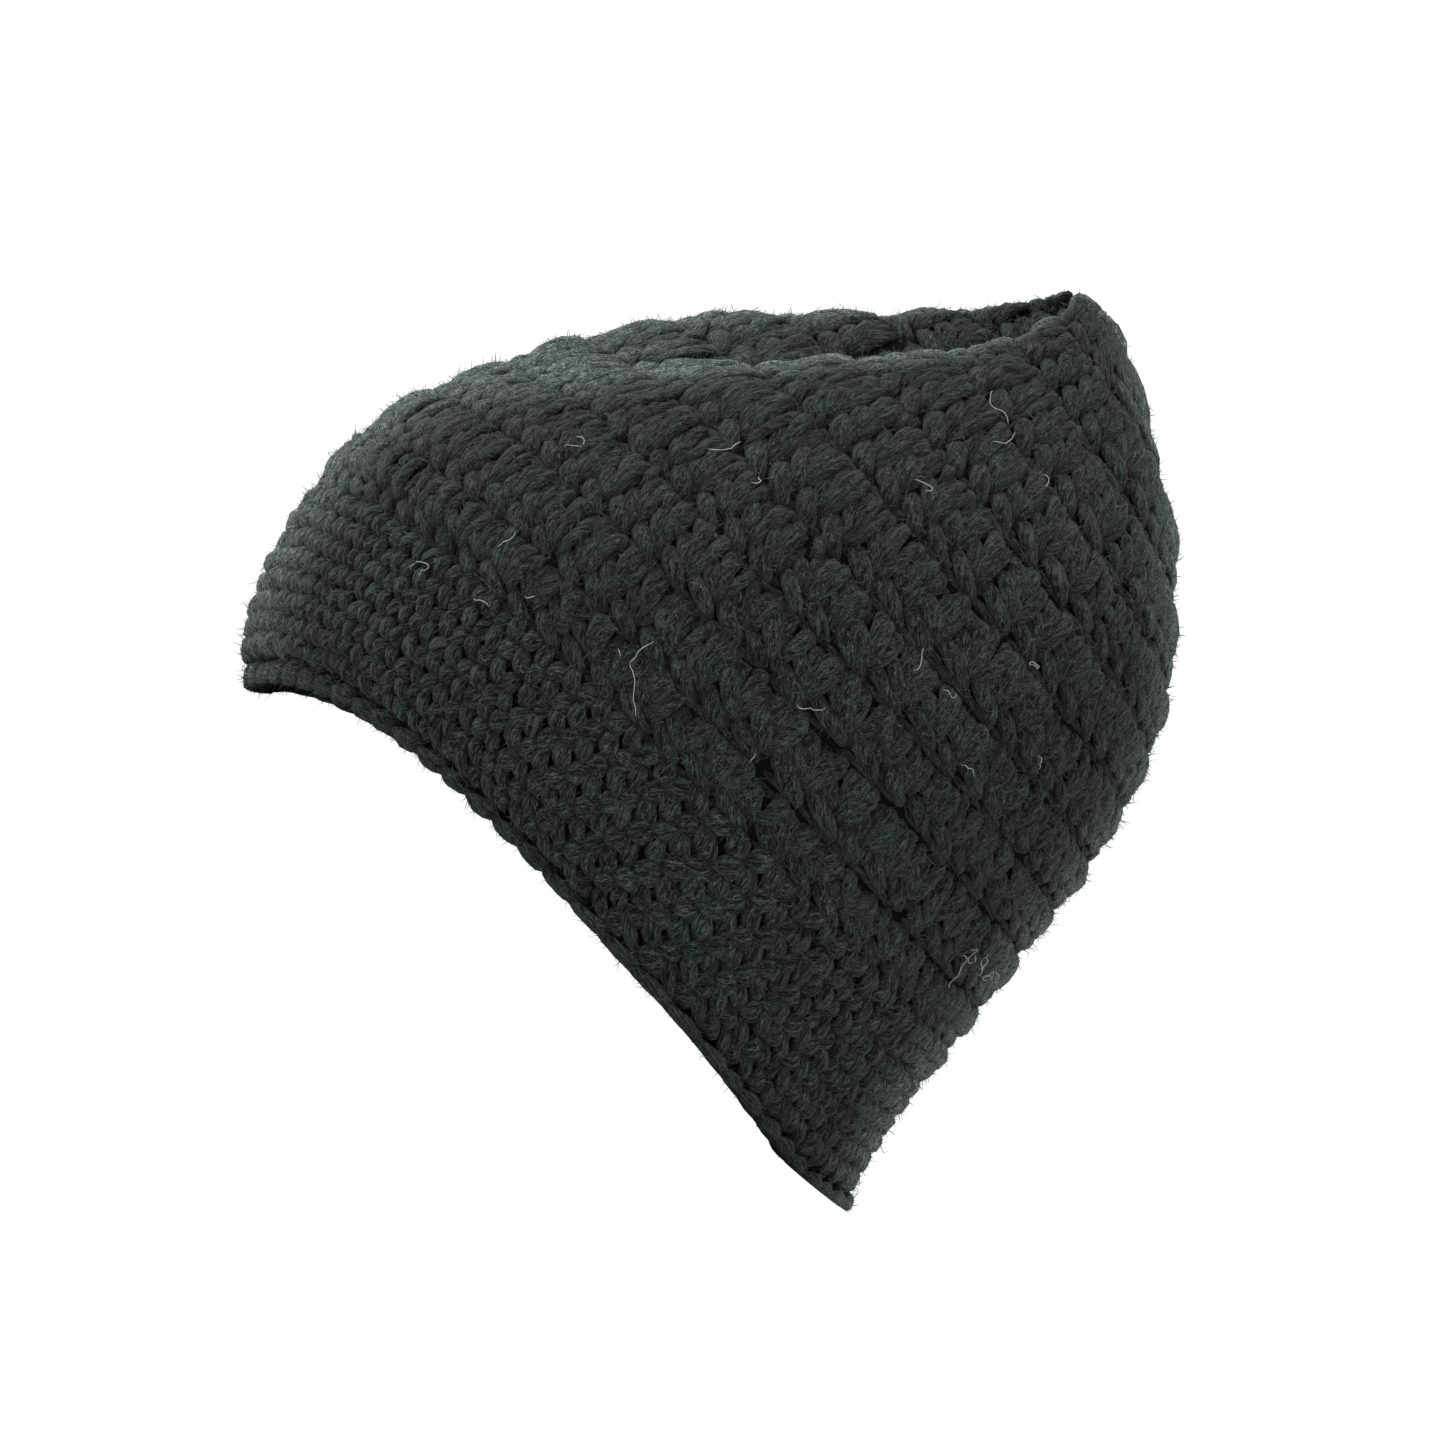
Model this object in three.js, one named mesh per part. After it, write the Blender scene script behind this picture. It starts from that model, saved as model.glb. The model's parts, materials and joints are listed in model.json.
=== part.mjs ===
// Hand-crocheted beanie in thick yarn, standing on its rim as it would by itself.
// Three worked pieces: the chain that the work was started on, the brim of short stitches,
// and the crown of tall stitches that is drawn together to a point.
// Millimetres, +Z up, -Y is the front of the hat. The origin is the bottom centre of its box.
import * as THREE from 'three';

// Sizes of the whole hat
const HAT_LENGTH = 210;
const HAT_WIDTH = 165;
const HAT_HEIGHT = 203;
const WALL = 5;
const SEAM_GAP = 0.3;

// Sizes of the brim and of the chain at its rim
const BRIM_HEIGHT = 46;
const BRIM_ROWS = 8;
const BRIM_GROOVE = 0.9;
const RIM_ARCH = 15;
const CHAIN_HEIGHT = 4.6;
const CHAIN_WIDTH = 6.2;

// Sizes of the crown
const CROWN_GROOVE = 1.5;
const FOLD_DEPTH = 16;
const POINT_EXTRA = 1.5;

// Fineness of the faceted solids
const COLUMNS = 48;
const INNER_BRIM_RINGS = 4;

// The rim touches the floor over a short stretch in front and a long one behind, in degrees
// round the hat from the front. It rises in an arch at each side between them.
const FRONT_TOUCH = { middle: -18, halfWidth: 5.5 };
const ARCH_END = 152;
const ARCH_LEAN = 0.8;
const ARCH_ROUNDNESS = 1.3;

// A section is a little squarer than an ellipse.
const SQUARENESS = 2.25;

// The front of the crown has sunk in between two ridges. Angles are in degrees from the front,
// rises are shares of the fold's depth.
const FOLD_MIDDLE = 3;
const FOLD_HALF_WIDTH = 15;
const RIDGES = [
  { angle: 36, halfWidth: 12, rise: 0.2 },
  { angle: -26, halfWidth: 12, rise: 0.42 },
];

// Sections of the brim, from the rim up. Heights are shares of BRIM_HEIGHT, the side rise of
// RIM_ARCH, reaches of HAT_LENGTH, the half width of HAT_WIDTH and the fold of FOLD_DEPTH.
const BRIM_SECTIONS = [
  { front: 0, back: 0, sideRise: 1, frontReach: -0.404, backReach: 0.499, halfWidth: 0.476, fold: 0 },
  { front: 0.24, back: 0.2, sideRise: 0.84, frontReach: -0.45, backReach: 0.483, halfWidth: 0.482, fold: 0 },
  { front: 0.58, back: 0.54, sideRise: 0.69, frontReach: -0.48, backReach: 0.468, halfWidth: 0.491, fold: 0 },
  { front: 1.01, back: 0.98, sideRise: 0.5, frontReach: -0.499, backReach: 0.464, halfWidth: 0.497, fold: 0 },
];

// Sections of the crown, one above each tall round. Heights are shares of what stands above
// the brim, and the other columns are as in the brim.
const CROWN_SECTIONS = [
  { front: 0.113, back: 0.073, sideRise: 0.31, frontReach: -0.502, backReach: 0.463, halfWidth: 0.5, fold: 0 },
  { front: 0.228, back: 0.179, sideRise: 0.19, frontReach: -0.474, backReach: 0.458, halfWidth: 0.497, fold: 0 },
  { front: 0.34, back: 0.26, sideRise: 0.09, frontReach: -0.429, backReach: 0.453, halfWidth: 0.488, fold: 0.15 },
  { front: 0.452, back: 0.346, sideRise: 0, frontReach: -0.373, backReach: 0.447, halfWidth: 0.468, fold: 0.48 },
  { front: 0.567, back: 0.44, sideRise: 0, frontReach: -0.298, backReach: 0.438, halfWidth: 0.435, fold: 0.8 },
  { front: 0.678, back: 0.53, sideRise: 0, frontReach: -0.21, backReach: 0.42, halfWidth: 0.383, fold: 1 },
  { front: 0.78, back: 0.622, sideRise: 0, frontReach: -0.125, backReach: 0.391, halfWidth: 0.314, fold: 0.93 },
  { front: 0.868, back: 0.735, sideRise: 0, frontReach: -0.061, backReach: 0.332, halfWidth: 0.225, fold: 0.72 },
  { front: 0.945, back: 0.866, sideRise: 0, frontReach: -0.018, backReach: 0.236, halfWidth: 0.13, fold: 0.38 },
  { front: 0.996, back: 0.986, sideRise: 0, frontReach: 0.006, backReach: 0.094, halfWidth: 0.036, fold: 0.05 },
];

const YARN_COLOUR = 0x2c3030;
const CROWN_HEIGHT = HAT_HEIGHT - BRIM_HEIGHT;
const BRIM_TOP = BRIM_SECTIONS.length - 1;
const CROWN_TOP = BRIM_TOP + CROWN_SECTIONS.length;
const TURN = 2 * Math.PI;

// Sections in millimetres
function measured(section, base, height) {
  return {
    front: base + section.front * height,
    back: base + section.back * height,
    sideRise: section.sideRise * RIM_ARCH,
    frontReach: section.frontReach * HAT_LENGTH,
    backReach: section.backReach * HAT_LENGTH,
    halfWidth: section.halfWidth * HAT_WIDTH,
    fold: section.fold * FOLD_DEPTH,
  };
}

const SECTIONS = [
  ...BRIM_SECTIONS.map((section) => measured(section, 0, BRIM_HEIGHT)),
  ...CROWN_SECTIONS.map((section) => measured(section, BRIM_HEIGHT, CROWN_HEIGHT)),
];

function smooth(before, from, to, after, share) {
  const square = share * share;
  const cube = square * share;
  const pull = (to - before) * (cube - 2 * square + share);
  const push = (after - from) * (cube - square);
  return from * (2 * cube - 3 * square + 1) + to * (3 * square - 2 * cube) + (pull + push) / 2;
}

// The section at any level, where level 0 is the rim and each whole number is one table row
function sectionAt(level) {
  const last = SECTIONS.length - 1;
  const low = Math.min(Math.floor(level), last - 1);
  const rows = [Math.max(low - 1, 0), low, low + 1, Math.min(low + 2, last)].map((i) => SECTIONS[i]);
  const section = {};
  for (const key of Object.keys(SECTIONS[0])) {
    section[key] = smooth(...rows.map((row) => row[key]), level - low);
  }
  return section;
}

// Degrees from a direction, between -180 and 180
function degreesFrom(angle, direction) {
  const degrees = (angle * 360) / TURN - direction;
  return ((((degrees + 180) % 360) + 360) % 360) - 180;
}

function archShape(angle) {
  const off = Math.abs(degreesFrom(angle, FRONT_TOUCH.middle));
  const share = (off - FRONT_TOUCH.halfWidth) / (ARCH_END - FRONT_TOUCH.halfWidth);
  const inside = Math.min(Math.max(share, 0), 1);
  return Math.max(Math.sin(Math.PI * inside ** ARCH_LEAN), 0) ** ARCH_ROUNDNESS;
}

function bell(off, halfWidth) {
  return Math.exp(-((off / halfWidth) ** 2));
}

function foldShape(angle) {
  let shape = bell(degreesFrom(angle, FOLD_MIDDLE), FOLD_HALF_WIDTH);
  for (const ridge of RIDGES) {
    shape -= ridge.rise * bell(degreesFrom(angle, ridge.angle), ridge.halfWidth);
  }
  return shape;
}

function squared(value) {
  return Math.sign(value) * Math.abs(value) ** (2 / SQUARENESS);
}

// A point of the outer surface. The angle runs from the front round by the +X side.
function surfacePoint(level, angle) {
  const section = sectionAt(level);
  const middle = (section.frontReach + section.backReach) / 2;
  const halfLength = (section.backReach - section.frontReach) / 2;
  const across = squared(Math.sin(angle)) * section.halfWidth;
  const along = -squared(Math.cos(angle)) * halfLength;
  const kept = 1 - (section.fold * foldShape(angle)) / Math.hypot(across, along);
  const height = (section.front + section.back) / 2 + ((section.front - section.back) / 2) * Math.cos(angle);
  return new THREE.Vector3(across * kept, middle + along * kept, height + section.sideRise * archShape(angle));
}

// Directions at a point of the surface: up along it, on round the hat, and out of it
const STEP = 0.01;

function upward(level, angle) {
  const low = surfacePoint(Math.max(level - STEP, 0), angle);
  return surfacePoint(Math.min(level + STEP, CROWN_TOP), angle).sub(low).normalize();
}

function onward(level, angle) {
  return surfacePoint(level, angle + STEP).sub(surfacePoint(level, angle - STEP)).normalize();
}

function outward(level, angle) {
  return onward(level, angle).cross(upward(level, angle)).normalize();
}

function levelOutward(level, angle) {
  const direction = onward(level, angle);
  return new THREE.Vector3(direction.y, -direction.x, 0).normalize();
}

function moved(point, direction, distance) {
  return point.clone().addScaledVector(direction, distance);
}

const SCAN = 60;
const FINE_STEP = 0.001;

function levelAtHeight(angle, height) {
  let level = 0;
  while (surfacePoint(level, angle).z < height) level += FINE_STEP;
  return level;
}

// Levels of the brim, measured along the surface so that its rows are evenly high

function brimLevels(angle, startLevel, count) {
  const levels = [];
  const lengths = [0];
  for (let i = 0; i <= SCAN; i += 1) levels.push(startLevel + ((BRIM_TOP - startLevel) * i) / SCAN);
  for (let i = 1; i <= SCAN; i += 1) {
    const stretch = surfacePoint(levels[i], angle).distanceTo(surfacePoint(levels[i - 1], angle));
    lengths.push(lengths[i - 1] + stretch);
  }
  const found = [];
  for (let i = 0; i <= count; i += 1) {
    const wanted = (lengths[SCAN] * i) / count;
    const next = Math.min(Math.max(lengths.findIndex((length) => length >= wanted), 1), SCAN);
    const share = (wanted - lengths[next - 1]) / (lengths[next] - lengths[next - 1]);
    found.push(levels[next - 1] + (levels[next] - levels[next - 1]) * share);
  }
  return found;
}

// A closed body from columns of points. Each column runs up the outside and down the inside.
// Without a meeting, its upper ends join there. With one, the outside closes in one point above
// and the inside in another.
function bodyFromColumns(columns, meeting) {
  const count = columns[0].length;
  const positions = columns.flat().flatMap((point) => [point.x, point.y, point.z]);
  const indices = [];
  const vertex = (column, i) => (column % columns.length) * count + (i % count);
  for (let c = 0; c < columns.length; c += 1) {
    for (let i = 0; i < count; i += 1) {
      if (meeting && i === meeting.after) continue;
      const [a, b] = [vertex(c, i), vertex(c + 1, i)];
      const [d, e] = [vertex(c + 1, i + 1), vertex(c, i + 1)];
      indices.push(a, b, d, a, d, e);
    }
  }
  if (meeting) {
    const outer = positions.length / 3;
    positions.push(...meeting.outer.toArray(), ...meeting.inner.toArray());
    for (let c = 0; c < columns.length; c += 1) {
      indices.push(vertex(c, meeting.after), vertex(c + 1, meeting.after), outer);
      indices.push(vertex(c + 1, meeting.after + 1), vertex(c, meeting.after + 1), outer + 1);
    }
  }
  const geometry = new THREE.BufferGeometry();
  geometry.setAttribute('position', new THREE.Float32BufferAttribute(positions, 3));
  geometry.setIndex(indices);
  geometry.computeVertexNormals();
  return geometry;
}

function columnAngles() {
  return Array.from({ length: COLUMNS }, (unused, i) => (TURN * i) / COLUMNS);
}

// The chain at the rim: a rounded band under the brim, flat below so that it rests on the floor
function chainColumn(angle) {
  const side = levelOutward(0, angle);
  const bottom = moved(surfacePoint(0, angle), side, -WALL / 2);
  const seat = surfacePoint(levelAtHeight(angle, bottom.z + CHAIN_HEIGHT), angle);
  seat.z = bottom.z + CHAIN_HEIGHT;
  const top = moved(seat, side, -WALL / 2);
  const profile = [
    { height: 0, reach: 0.3 },
    { height: 0.28, reach: 0.5 },
    { height: 0.72, reach: 0.5 },
    { height: 1, reach: 0.34 },
  ];
  const at = ({ height, reach }, way) => moved(bottom.clone().lerp(top, height), side, way * reach * CHAIN_WIDTH);
  return [...profile.map((row) => at(row, 1)), ...profile.toReversed().map((row) => at(row, -1))];
}

// The brim: rows of short stitches, with a shallow groove between each two
function brimColumn(angle) {
  const foot = surfacePoint(0, angle).z + CHAIN_HEIGHT + SEAM_GAP;
  const start = levelAtHeight(angle, foot);
  const side = levelOutward(start, angle);
  const outside = brimLevels(angle, start, 2 * BRIM_ROWS);
  const inside = brimLevels(angle, start, INNER_BRIM_RINGS);
  const seam = upward(BRIM_TOP, angle).multiplyScalar(-SEAM_GAP / 2);
  const column = outside.map((level, i) => {
    const depth = i % 2 === 0 ? BRIM_GROOVE : 0;
    return moved(surfacePoint(level, angle), i === 0 ? side : outward(level, angle), -depth);
  });
  column[0].z = foot;
  column[column.length - 1].add(seam);
  const lining = inside.map((level, i) => {
    return moved(surfacePoint(level, angle), i === 0 ? side : outward(level, angle), -WALL);
  });
  lining[0].z = foot;
  lining[lining.length - 1].add(seam);
  return [...column, ...lining.reverse()];
}

// The crown: tall rounds, each one a soft rib, drawn together to a closed point
const RIB = [
  { share: 0, depth: 1 },
  { share: 0.3, depth: 0 },
  { share: 0.75, depth: 0.1 },
];

function crownColumn(angle) {
  const seam = upward(BRIM_TOP, angle).multiplyScalar(SEAM_GAP / 2);
  const column = [];
  for (let level = BRIM_TOP; level < CROWN_TOP; level += 1) {
    for (const { share, depth } of RIB) {
      const place = level + share;
      column.push(moved(surfacePoint(place, angle), outward(place, angle), -depth * CROWN_GROOVE));
    }
  }
  column[0].add(seam);
  const lining = [];
  for (let level = BRIM_TOP; level < CROWN_TOP; level += 1) {
    lining.push(moved(surfacePoint(level, angle), outward(level, angle), -WALL));
  }
  lining[0].add(seam);
  return [...column, ...lining.reverse()];
}

function crownMeeting() {
  const last = SECTIONS[SECTIONS.length - 1];
  const middle = (last.frontReach + last.backReach) / 2;
  const point = new THREE.Vector3(0, middle, HAT_HEIGHT);
  const hollow = new THREE.Vector3(0, middle, last.back - WALL - POINT_EXTRA);
  return { outer: point, inner: hollow, after: RIB.length * CROWN_SECTIONS.length - 1 };
}

function worked(name, geometry) {
  const finish = new THREE.MeshStandardMaterial({ color: YARN_COLOUR, roughness: 0.95, metalness: 0 });
  const mesh = new THREE.Mesh(geometry, finish);
  mesh.name = name;
  return mesh;
}

const angles = columnAngles();
const hat = new THREE.Group();
hat.name = 'crocheted_beanie';
hat.add(worked('edge_chain', bodyFromColumns(angles.map(chainColumn))));
hat.add(worked('brim', bodyFromColumns(angles.map(brimColumn))));
hat.add(worked('crown', bodyFromColumns(angles.map(crownColumn), crownMeeting())));

// The origin is the bottom centre of the hat's box.
const box = new THREE.Box3().setFromObject(hat);
const centre = box.getCenter(new THREE.Vector3());
for (const piece of hat.children) piece.geometry.translate(-centre.x, -centre.y, -box.min.z);

export default hat;
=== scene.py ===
# %% [markdown]
# # A hand-crocheted beanie in thick charcoal yarn
# The whole hat is one long yarn, pulled through itself stitch by stitch. It has three kinds of
# work: a chain along the rim, rows of short stitches round the brim, and rounds of tall stitches
# that close to a point. This script lays strands of yarn, one by one, over the measured shape of
# the hat, so that light falls between them as it does in the wool.

import json
import math

import bpy
import numpy as np
from mathutils import Matrix, Vector

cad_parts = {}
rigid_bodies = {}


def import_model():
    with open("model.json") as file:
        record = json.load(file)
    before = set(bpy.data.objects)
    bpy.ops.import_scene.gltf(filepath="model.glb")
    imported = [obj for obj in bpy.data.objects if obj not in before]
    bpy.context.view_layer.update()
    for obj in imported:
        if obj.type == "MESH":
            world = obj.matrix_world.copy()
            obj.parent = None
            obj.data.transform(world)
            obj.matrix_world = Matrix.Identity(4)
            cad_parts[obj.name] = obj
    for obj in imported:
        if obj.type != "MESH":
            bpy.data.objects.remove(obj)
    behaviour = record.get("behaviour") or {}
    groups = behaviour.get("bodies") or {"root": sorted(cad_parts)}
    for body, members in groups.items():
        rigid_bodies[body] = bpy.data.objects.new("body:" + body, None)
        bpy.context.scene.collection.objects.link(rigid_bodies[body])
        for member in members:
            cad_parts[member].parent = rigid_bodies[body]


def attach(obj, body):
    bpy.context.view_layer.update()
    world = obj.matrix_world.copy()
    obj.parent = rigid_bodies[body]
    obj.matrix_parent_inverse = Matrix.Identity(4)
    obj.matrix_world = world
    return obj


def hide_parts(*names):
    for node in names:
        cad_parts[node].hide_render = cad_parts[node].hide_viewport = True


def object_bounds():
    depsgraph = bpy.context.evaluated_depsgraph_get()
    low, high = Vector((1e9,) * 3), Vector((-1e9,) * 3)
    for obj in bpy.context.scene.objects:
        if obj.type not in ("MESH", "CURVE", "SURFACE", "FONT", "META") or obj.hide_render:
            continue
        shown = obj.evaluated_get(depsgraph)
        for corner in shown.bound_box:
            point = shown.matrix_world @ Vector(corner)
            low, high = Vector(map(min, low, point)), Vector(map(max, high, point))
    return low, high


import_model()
MM = 0.001
cad_low, cad_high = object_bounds()
print("measured hat, mm:", [round((high - low) / MM, 1) for low, high in zip(cad_low, cad_high)])

# %% [markdown]
# ## The camera
# The photograph shows the hat from its left side, a little from the front, through a long lens. The
# hat stands upright here, so the camera itself is rolled until the point of the crown leans to the
# upper right. A camera is placed by a matrix whose columns are its right, its up and its back, which
# needs no guessing of angles.

# %% Place the camera
VIEW_TURN = math.radians(72)
VIEW_ROLL = math.radians(41)
VIEW_DISTANCE = 1.25
CAMERA_HEIGHT = 0.030
AIM = np.array([0.0, 0.0053, 0.069])
SEEN_WIDTH = 0.344
SENSOR = 36.0


def add_object(name, data):
    """An object linked into the scene."""
    made = bpy.data.objects.new(name, data)
    bpy.context.collection.objects.link(made)
    return made


level_right = np.array([math.cos(VIEW_TURN), math.sin(VIEW_TURN), 0.0])
camera_place = AIM + VIEW_DISTANCE * np.array([math.sin(VIEW_TURN), -math.cos(VIEW_TURN), 0.0])
camera_place[2] = CAMERA_HEIGHT
looking = (AIM - camera_place) / np.linalg.norm(AIM - camera_place)
level_up = np.cross(level_right, looking)

placing = np.eye(4)
placing[:3, 0] = math.cos(VIEW_ROLL) * level_right + math.sin(VIEW_ROLL) * level_up
placing[:3, 1] = math.cos(VIEW_ROLL) * level_up - math.sin(VIEW_ROLL) * level_right
placing[:3, 2] = -looking
placing[:3, 3] = camera_place

lens = bpy.data.cameras.new("long_lens")
lens.sensor_width = SENSOR
lens.lens = SENSOR * VIEW_DISTANCE / SEEN_WIDTH
camera = add_object("camera", lens)
camera.matrix_world = Matrix(placing.tolist())
bpy.context.scene.camera = camera
print("lens, mm:", round(lens.lens, 1))

# %% [markdown]
# ## The shape of the hat as a formula
# The strands need a surface to lie on. A ready mesh could be used, but its facets would show, so the
# rule that the hat was measured by is written again here. Each row of the table is one section of
# the hat, from the rim up: its height in front and behind, how far the sides rise in an arch, its
# reach to the front and the back, its half width, and how deep the front has sunk in. All of them are
# shares of the named sizes.

# %% Sizes and sections
HAT_LENGTH = 210 * MM
HAT_WIDTH = 165 * MM
BRIM_HEIGHT = 46 * MM
CROWN_HEIGHT = 157 * MM
RIM_ARCH = 15 * MM
FOLD_DEPTH = 16 * MM
POINT_EXTRA = 1.5 * MM

BRIM_SECTIONS = [
    (0.00, 0.00, 1.00, -0.404, 0.499, 0.476, 0.00),
    (0.24, 0.20, 0.84, -0.450, 0.483, 0.482, 0.00),
    (0.58, 0.54, 0.69, -0.480, 0.468, 0.491, 0.00),
    (1.01, 0.98, 0.50, -0.499, 0.464, 0.497, 0.00),
]
CROWN_SECTIONS = [
    (0.113, 0.073, 0.31, -0.502, 0.463, 0.500, 0.00),
    (0.228, 0.179, 0.19, -0.474, 0.458, 0.497, 0.00),
    (0.340, 0.260, 0.09, -0.429, 0.453, 0.488, 0.15),
    (0.452, 0.346, 0.00, -0.373, 0.447, 0.468, 0.48),
    (0.567, 0.440, 0.00, -0.298, 0.438, 0.435, 0.80),
    (0.678, 0.530, 0.00, -0.210, 0.420, 0.383, 1.00),
    (0.780, 0.622, 0.00, -0.125, 0.391, 0.314, 0.93),
    (0.868, 0.735, 0.00, -0.061, 0.332, 0.225, 0.72),
    (0.945, 0.866, 0.00, -0.018, 0.236, 0.130, 0.38),
    (0.996, 0.986, 0.00, 0.006, 0.094, 0.036, 0.05),
]
BRIM_TOP = len(BRIM_SECTIONS) - 1
CROWN_TOP = BRIM_TOP + len(CROWN_SECTIONS)
POLE = CROWN_TOP + 1

brim_scale = np.array([BRIM_HEIGHT, BRIM_HEIGHT, RIM_ARCH, HAT_LENGTH, HAT_LENGTH, HAT_WIDTH, FOLD_DEPTH])
crown_scale = brim_scale.copy()
crown_scale[:2] = CROWN_HEIGHT
crown_base = np.array([BRIM_HEIGHT, BRIM_HEIGHT, 0, 0, 0, 0, 0])
sections = np.vstack([np.array(BRIM_SECTIONS) * brim_scale,
                      np.array(CROWN_SECTIONS) * crown_scale + crown_base])
print("sections:", len(sections))

# %% [markdown]
# A smooth curve through the rows gives a section at any level between them. Round the hat, an angle
# runs from the front by the left side, and the arch of the rim and the sunk front depend on it.

# %% A point of the surface
TURN_STEP = 0.02
SQUARENESS = 2.25
FRONT_MIDDLE = -18
FRONT_HALF = 5.5
ARCH_END = 152
ARCH_LEAN = 0.8
ARCH_ROUNDNESS = 1.3
FOLD_MIDDLE = 3
FOLD_HALF_WIDTH = 15
# Columns: direction and half width in degrees, height as a share of the fold.
RIDGES = [(36, 12, 0.2), (-26, 12, 0.42)]


def curve_between(before, start, end, after, share):
    """A smooth curve at a share of the way from start to end, given the points before and after."""
    square = share * share
    cube = square * share
    pull = (end - before) * (cube - 2 * square + share) + (after - start) * (cube - square)
    return start * (2 * cube - 3 * square + 1) + end * (3 * square - 2 * cube) + pull / 2


def section_at(level):
    """The seven measures of the hat's section at each level, on a smooth curve through the table."""
    low = np.clip(np.floor(level).astype(int), 0, CROWN_TOP - 1)
    share = (level - low)[..., None]
    before, after = (sections[np.clip(low + step, 0, CROWN_TOP)] for step in (-1, 2))
    return curve_between(before, sections[low], sections[low + 1], after, share)


def degrees_from(angle, direction):
    """How far an angle lies from a direction, between -180 and 180 degrees."""
    return (np.degrees(angle) - direction + 180) % 360 - 180


def squared(value):
    """Fills the corners of a sine or cosine, so that a section is a little squarer than an ellipse."""
    return np.sign(value) * np.abs(value) ** (2 / SQUARENESS)


def hat_surface(level, angle):
    """Points of the hat's outer surface, up to the last section."""
    front, back, rise, front_reach, back_reach, half_width, fold = np.moveaxis(section_at(level), -1, 0)
    across = squared(np.sin(angle)) * half_width
    along = -squared(np.cos(angle)) * (back_reach - front_reach) / 2
    sunk = np.exp(-((degrees_from(angle, FOLD_MIDDLE) / FOLD_HALF_WIDTH) ** 2))
    for middle, half, raised in RIDGES:
        sunk = sunk - raised * np.exp(-((degrees_from(angle, middle) / half) ** 2))
    kept = 1 - fold * sunk / np.hypot(across, along)
    off = (np.abs(degrees_from(angle, FRONT_MIDDLE)) - FRONT_HALF) / (ARCH_END - FRONT_HALF)
    arch = np.maximum(np.sin(np.pi * np.clip(off, 0, 1) ** ARCH_LEAN), 0) ** ARCH_ROUNDNESS
    height = (front + back) / 2 + (front - back) / 2 * np.cos(angle) + rise * arch
    middle_y = (front_reach + back_reach) / 2
    return np.stack([across * kept, middle_y + along * kept, height], axis=-1)


def hat_point(level, angle):
    """As hat_surface, centred on the measured hat, and closed by a small dome above the last section."""
    level, angle = np.broadcast_arrays(np.asarray(level, float), np.asarray(angle, float))
    point = hat_surface(np.minimum(level, CROWN_TOP), angle) + centring
    closing = np.clip(level - CROWN_TOP, 0, 1)[..., None]
    return point * (1 - closing) + pole * closing + [0, 0, 0.4 * POINT_EXTRA] * np.sin(np.pi * closing)


round_angles = np.radians(np.arange(0, 360, 2.0))
probe = hat_surface(np.linspace(0, CROWN_TOP, 79)[:, None], round_angles[None, :]).reshape(-1, 3)
middle = (np.array(cad_low) + np.array(cad_high)) / 2 - (probe.min(0) + probe.max(0)) / 2
centring = np.array([middle[0], middle[1], 0.0])
pole = hat_surface(np.full(len(round_angles), float(CROWN_TOP)), round_angles).mean(0) + centring
pole[2] += POINT_EXTRA
print("centred by, mm:", np.round(centring / MM, 2), "point of the crown, mm:", np.round(pole / MM, 1))

# %% [markdown]
# ## A guide to wrap things on
# Yarn is easiest to lay on a flat chart: across is the way round the hat, up is the way up it, and
# height is the distance out of it. A guide mesh of the hat carries the chart as a UV map and its own
# outward direction as an attribute. Anything drawn on the chart can then be wrapped by looking up
# the place and direction at its UV. An even grid is enough, because the look-up blends between points.

# %% Build the guide
GUIDE_COLUMNS = 240
GUIDE_ROWS = 8 * POLE


def outward_at(level, angle):
    """The direction straight out of the hat."""
    above, below = np.minimum(level + TURN_STEP, POLE), np.maximum(level - TURN_STEP, 0)
    onward = hat_point(level, angle + TURN_STEP) - hat_point(level, angle - TURN_STEP)
    upward = hat_point(above, angle) - hat_point(below, angle)
    straight = np.cross(onward, upward)
    return straight / np.maximum(np.linalg.norm(straight, axis=-1, keepdims=True), 1e-12)


def grid_faces(columns, rows):
    """Quads of a grid whose points are numbered row by row."""
    return [
        (row * columns + column, row * columns + column + 1,
         (row + 1) * columns + column + 1, (row + 1) * columns + column)
        for row in range(rows - 1) for column in range(columns - 1)
    ]


def store_vectors(mesh, name, values):
    """Keep one vector for each point of a mesh."""
    kept = mesh.attributes.new(name, "FLOAT_VECTOR", "POINT")
    kept.data.foreach_set("vector", np.asarray(values, np.float32).reshape(-1))


guide_turns = np.arange(-1, GUIDE_COLUMNS + 2) / GUIDE_COLUMNS
guide_levels = np.linspace(0, POLE, GUIDE_ROWS + 1)
turn_grid, level_grid = np.meshgrid(guide_turns, guide_levels)
guide_places = hat_point(level_grid, turn_grid * 2 * np.pi).reshape(-1, 3)
guide_outward = outward_at(np.minimum(level_grid, CROWN_TOP + 0.5), turn_grid * 2 * np.pi)
guide_outward[level_grid > CROWN_TOP + 0.5] = (0, 0, 1)

guide_mesh = bpy.data.meshes.new("guide")
faces = grid_faces(len(guide_turns), len(guide_levels))
guide_mesh.from_pydata(guide_places.tolist(), [], faces)
chart = guide_mesh.uv_layers.new(name="chart")
corner_points = np.array(faces).reshape(-1)
chart_values = np.column_stack([turn_grid.reshape(-1), level_grid.reshape(-1) / POLE])[corner_points]
chart.uv.foreach_set("vector", chart_values.reshape(-1).astype(np.float32))
store_vectors(guide_mesh, "outward", guide_outward)
guide = add_object("guide", guide_mesh)
print("guide points:", len(guide_places))

# %% [markdown]
# ## Strands of yarn
# A stitch is a few short lengths of yarn that come up out of the fabric, lie over their neighbours
# and dive back in. Each is swept along its own smooth centre line with an oval section, broad where
# the yarn lies loose and narrow where it is pulled tight. A bevelled curve could do it too, but a
# hand-built sweep gives a UV map in real millimetres along the yarn, which the fibres need later.

# %% A strand of yarn along a smooth line
YARN_SIDES = 7
YARN_STEPS = 6
LOOSENESS = 1.24


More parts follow.
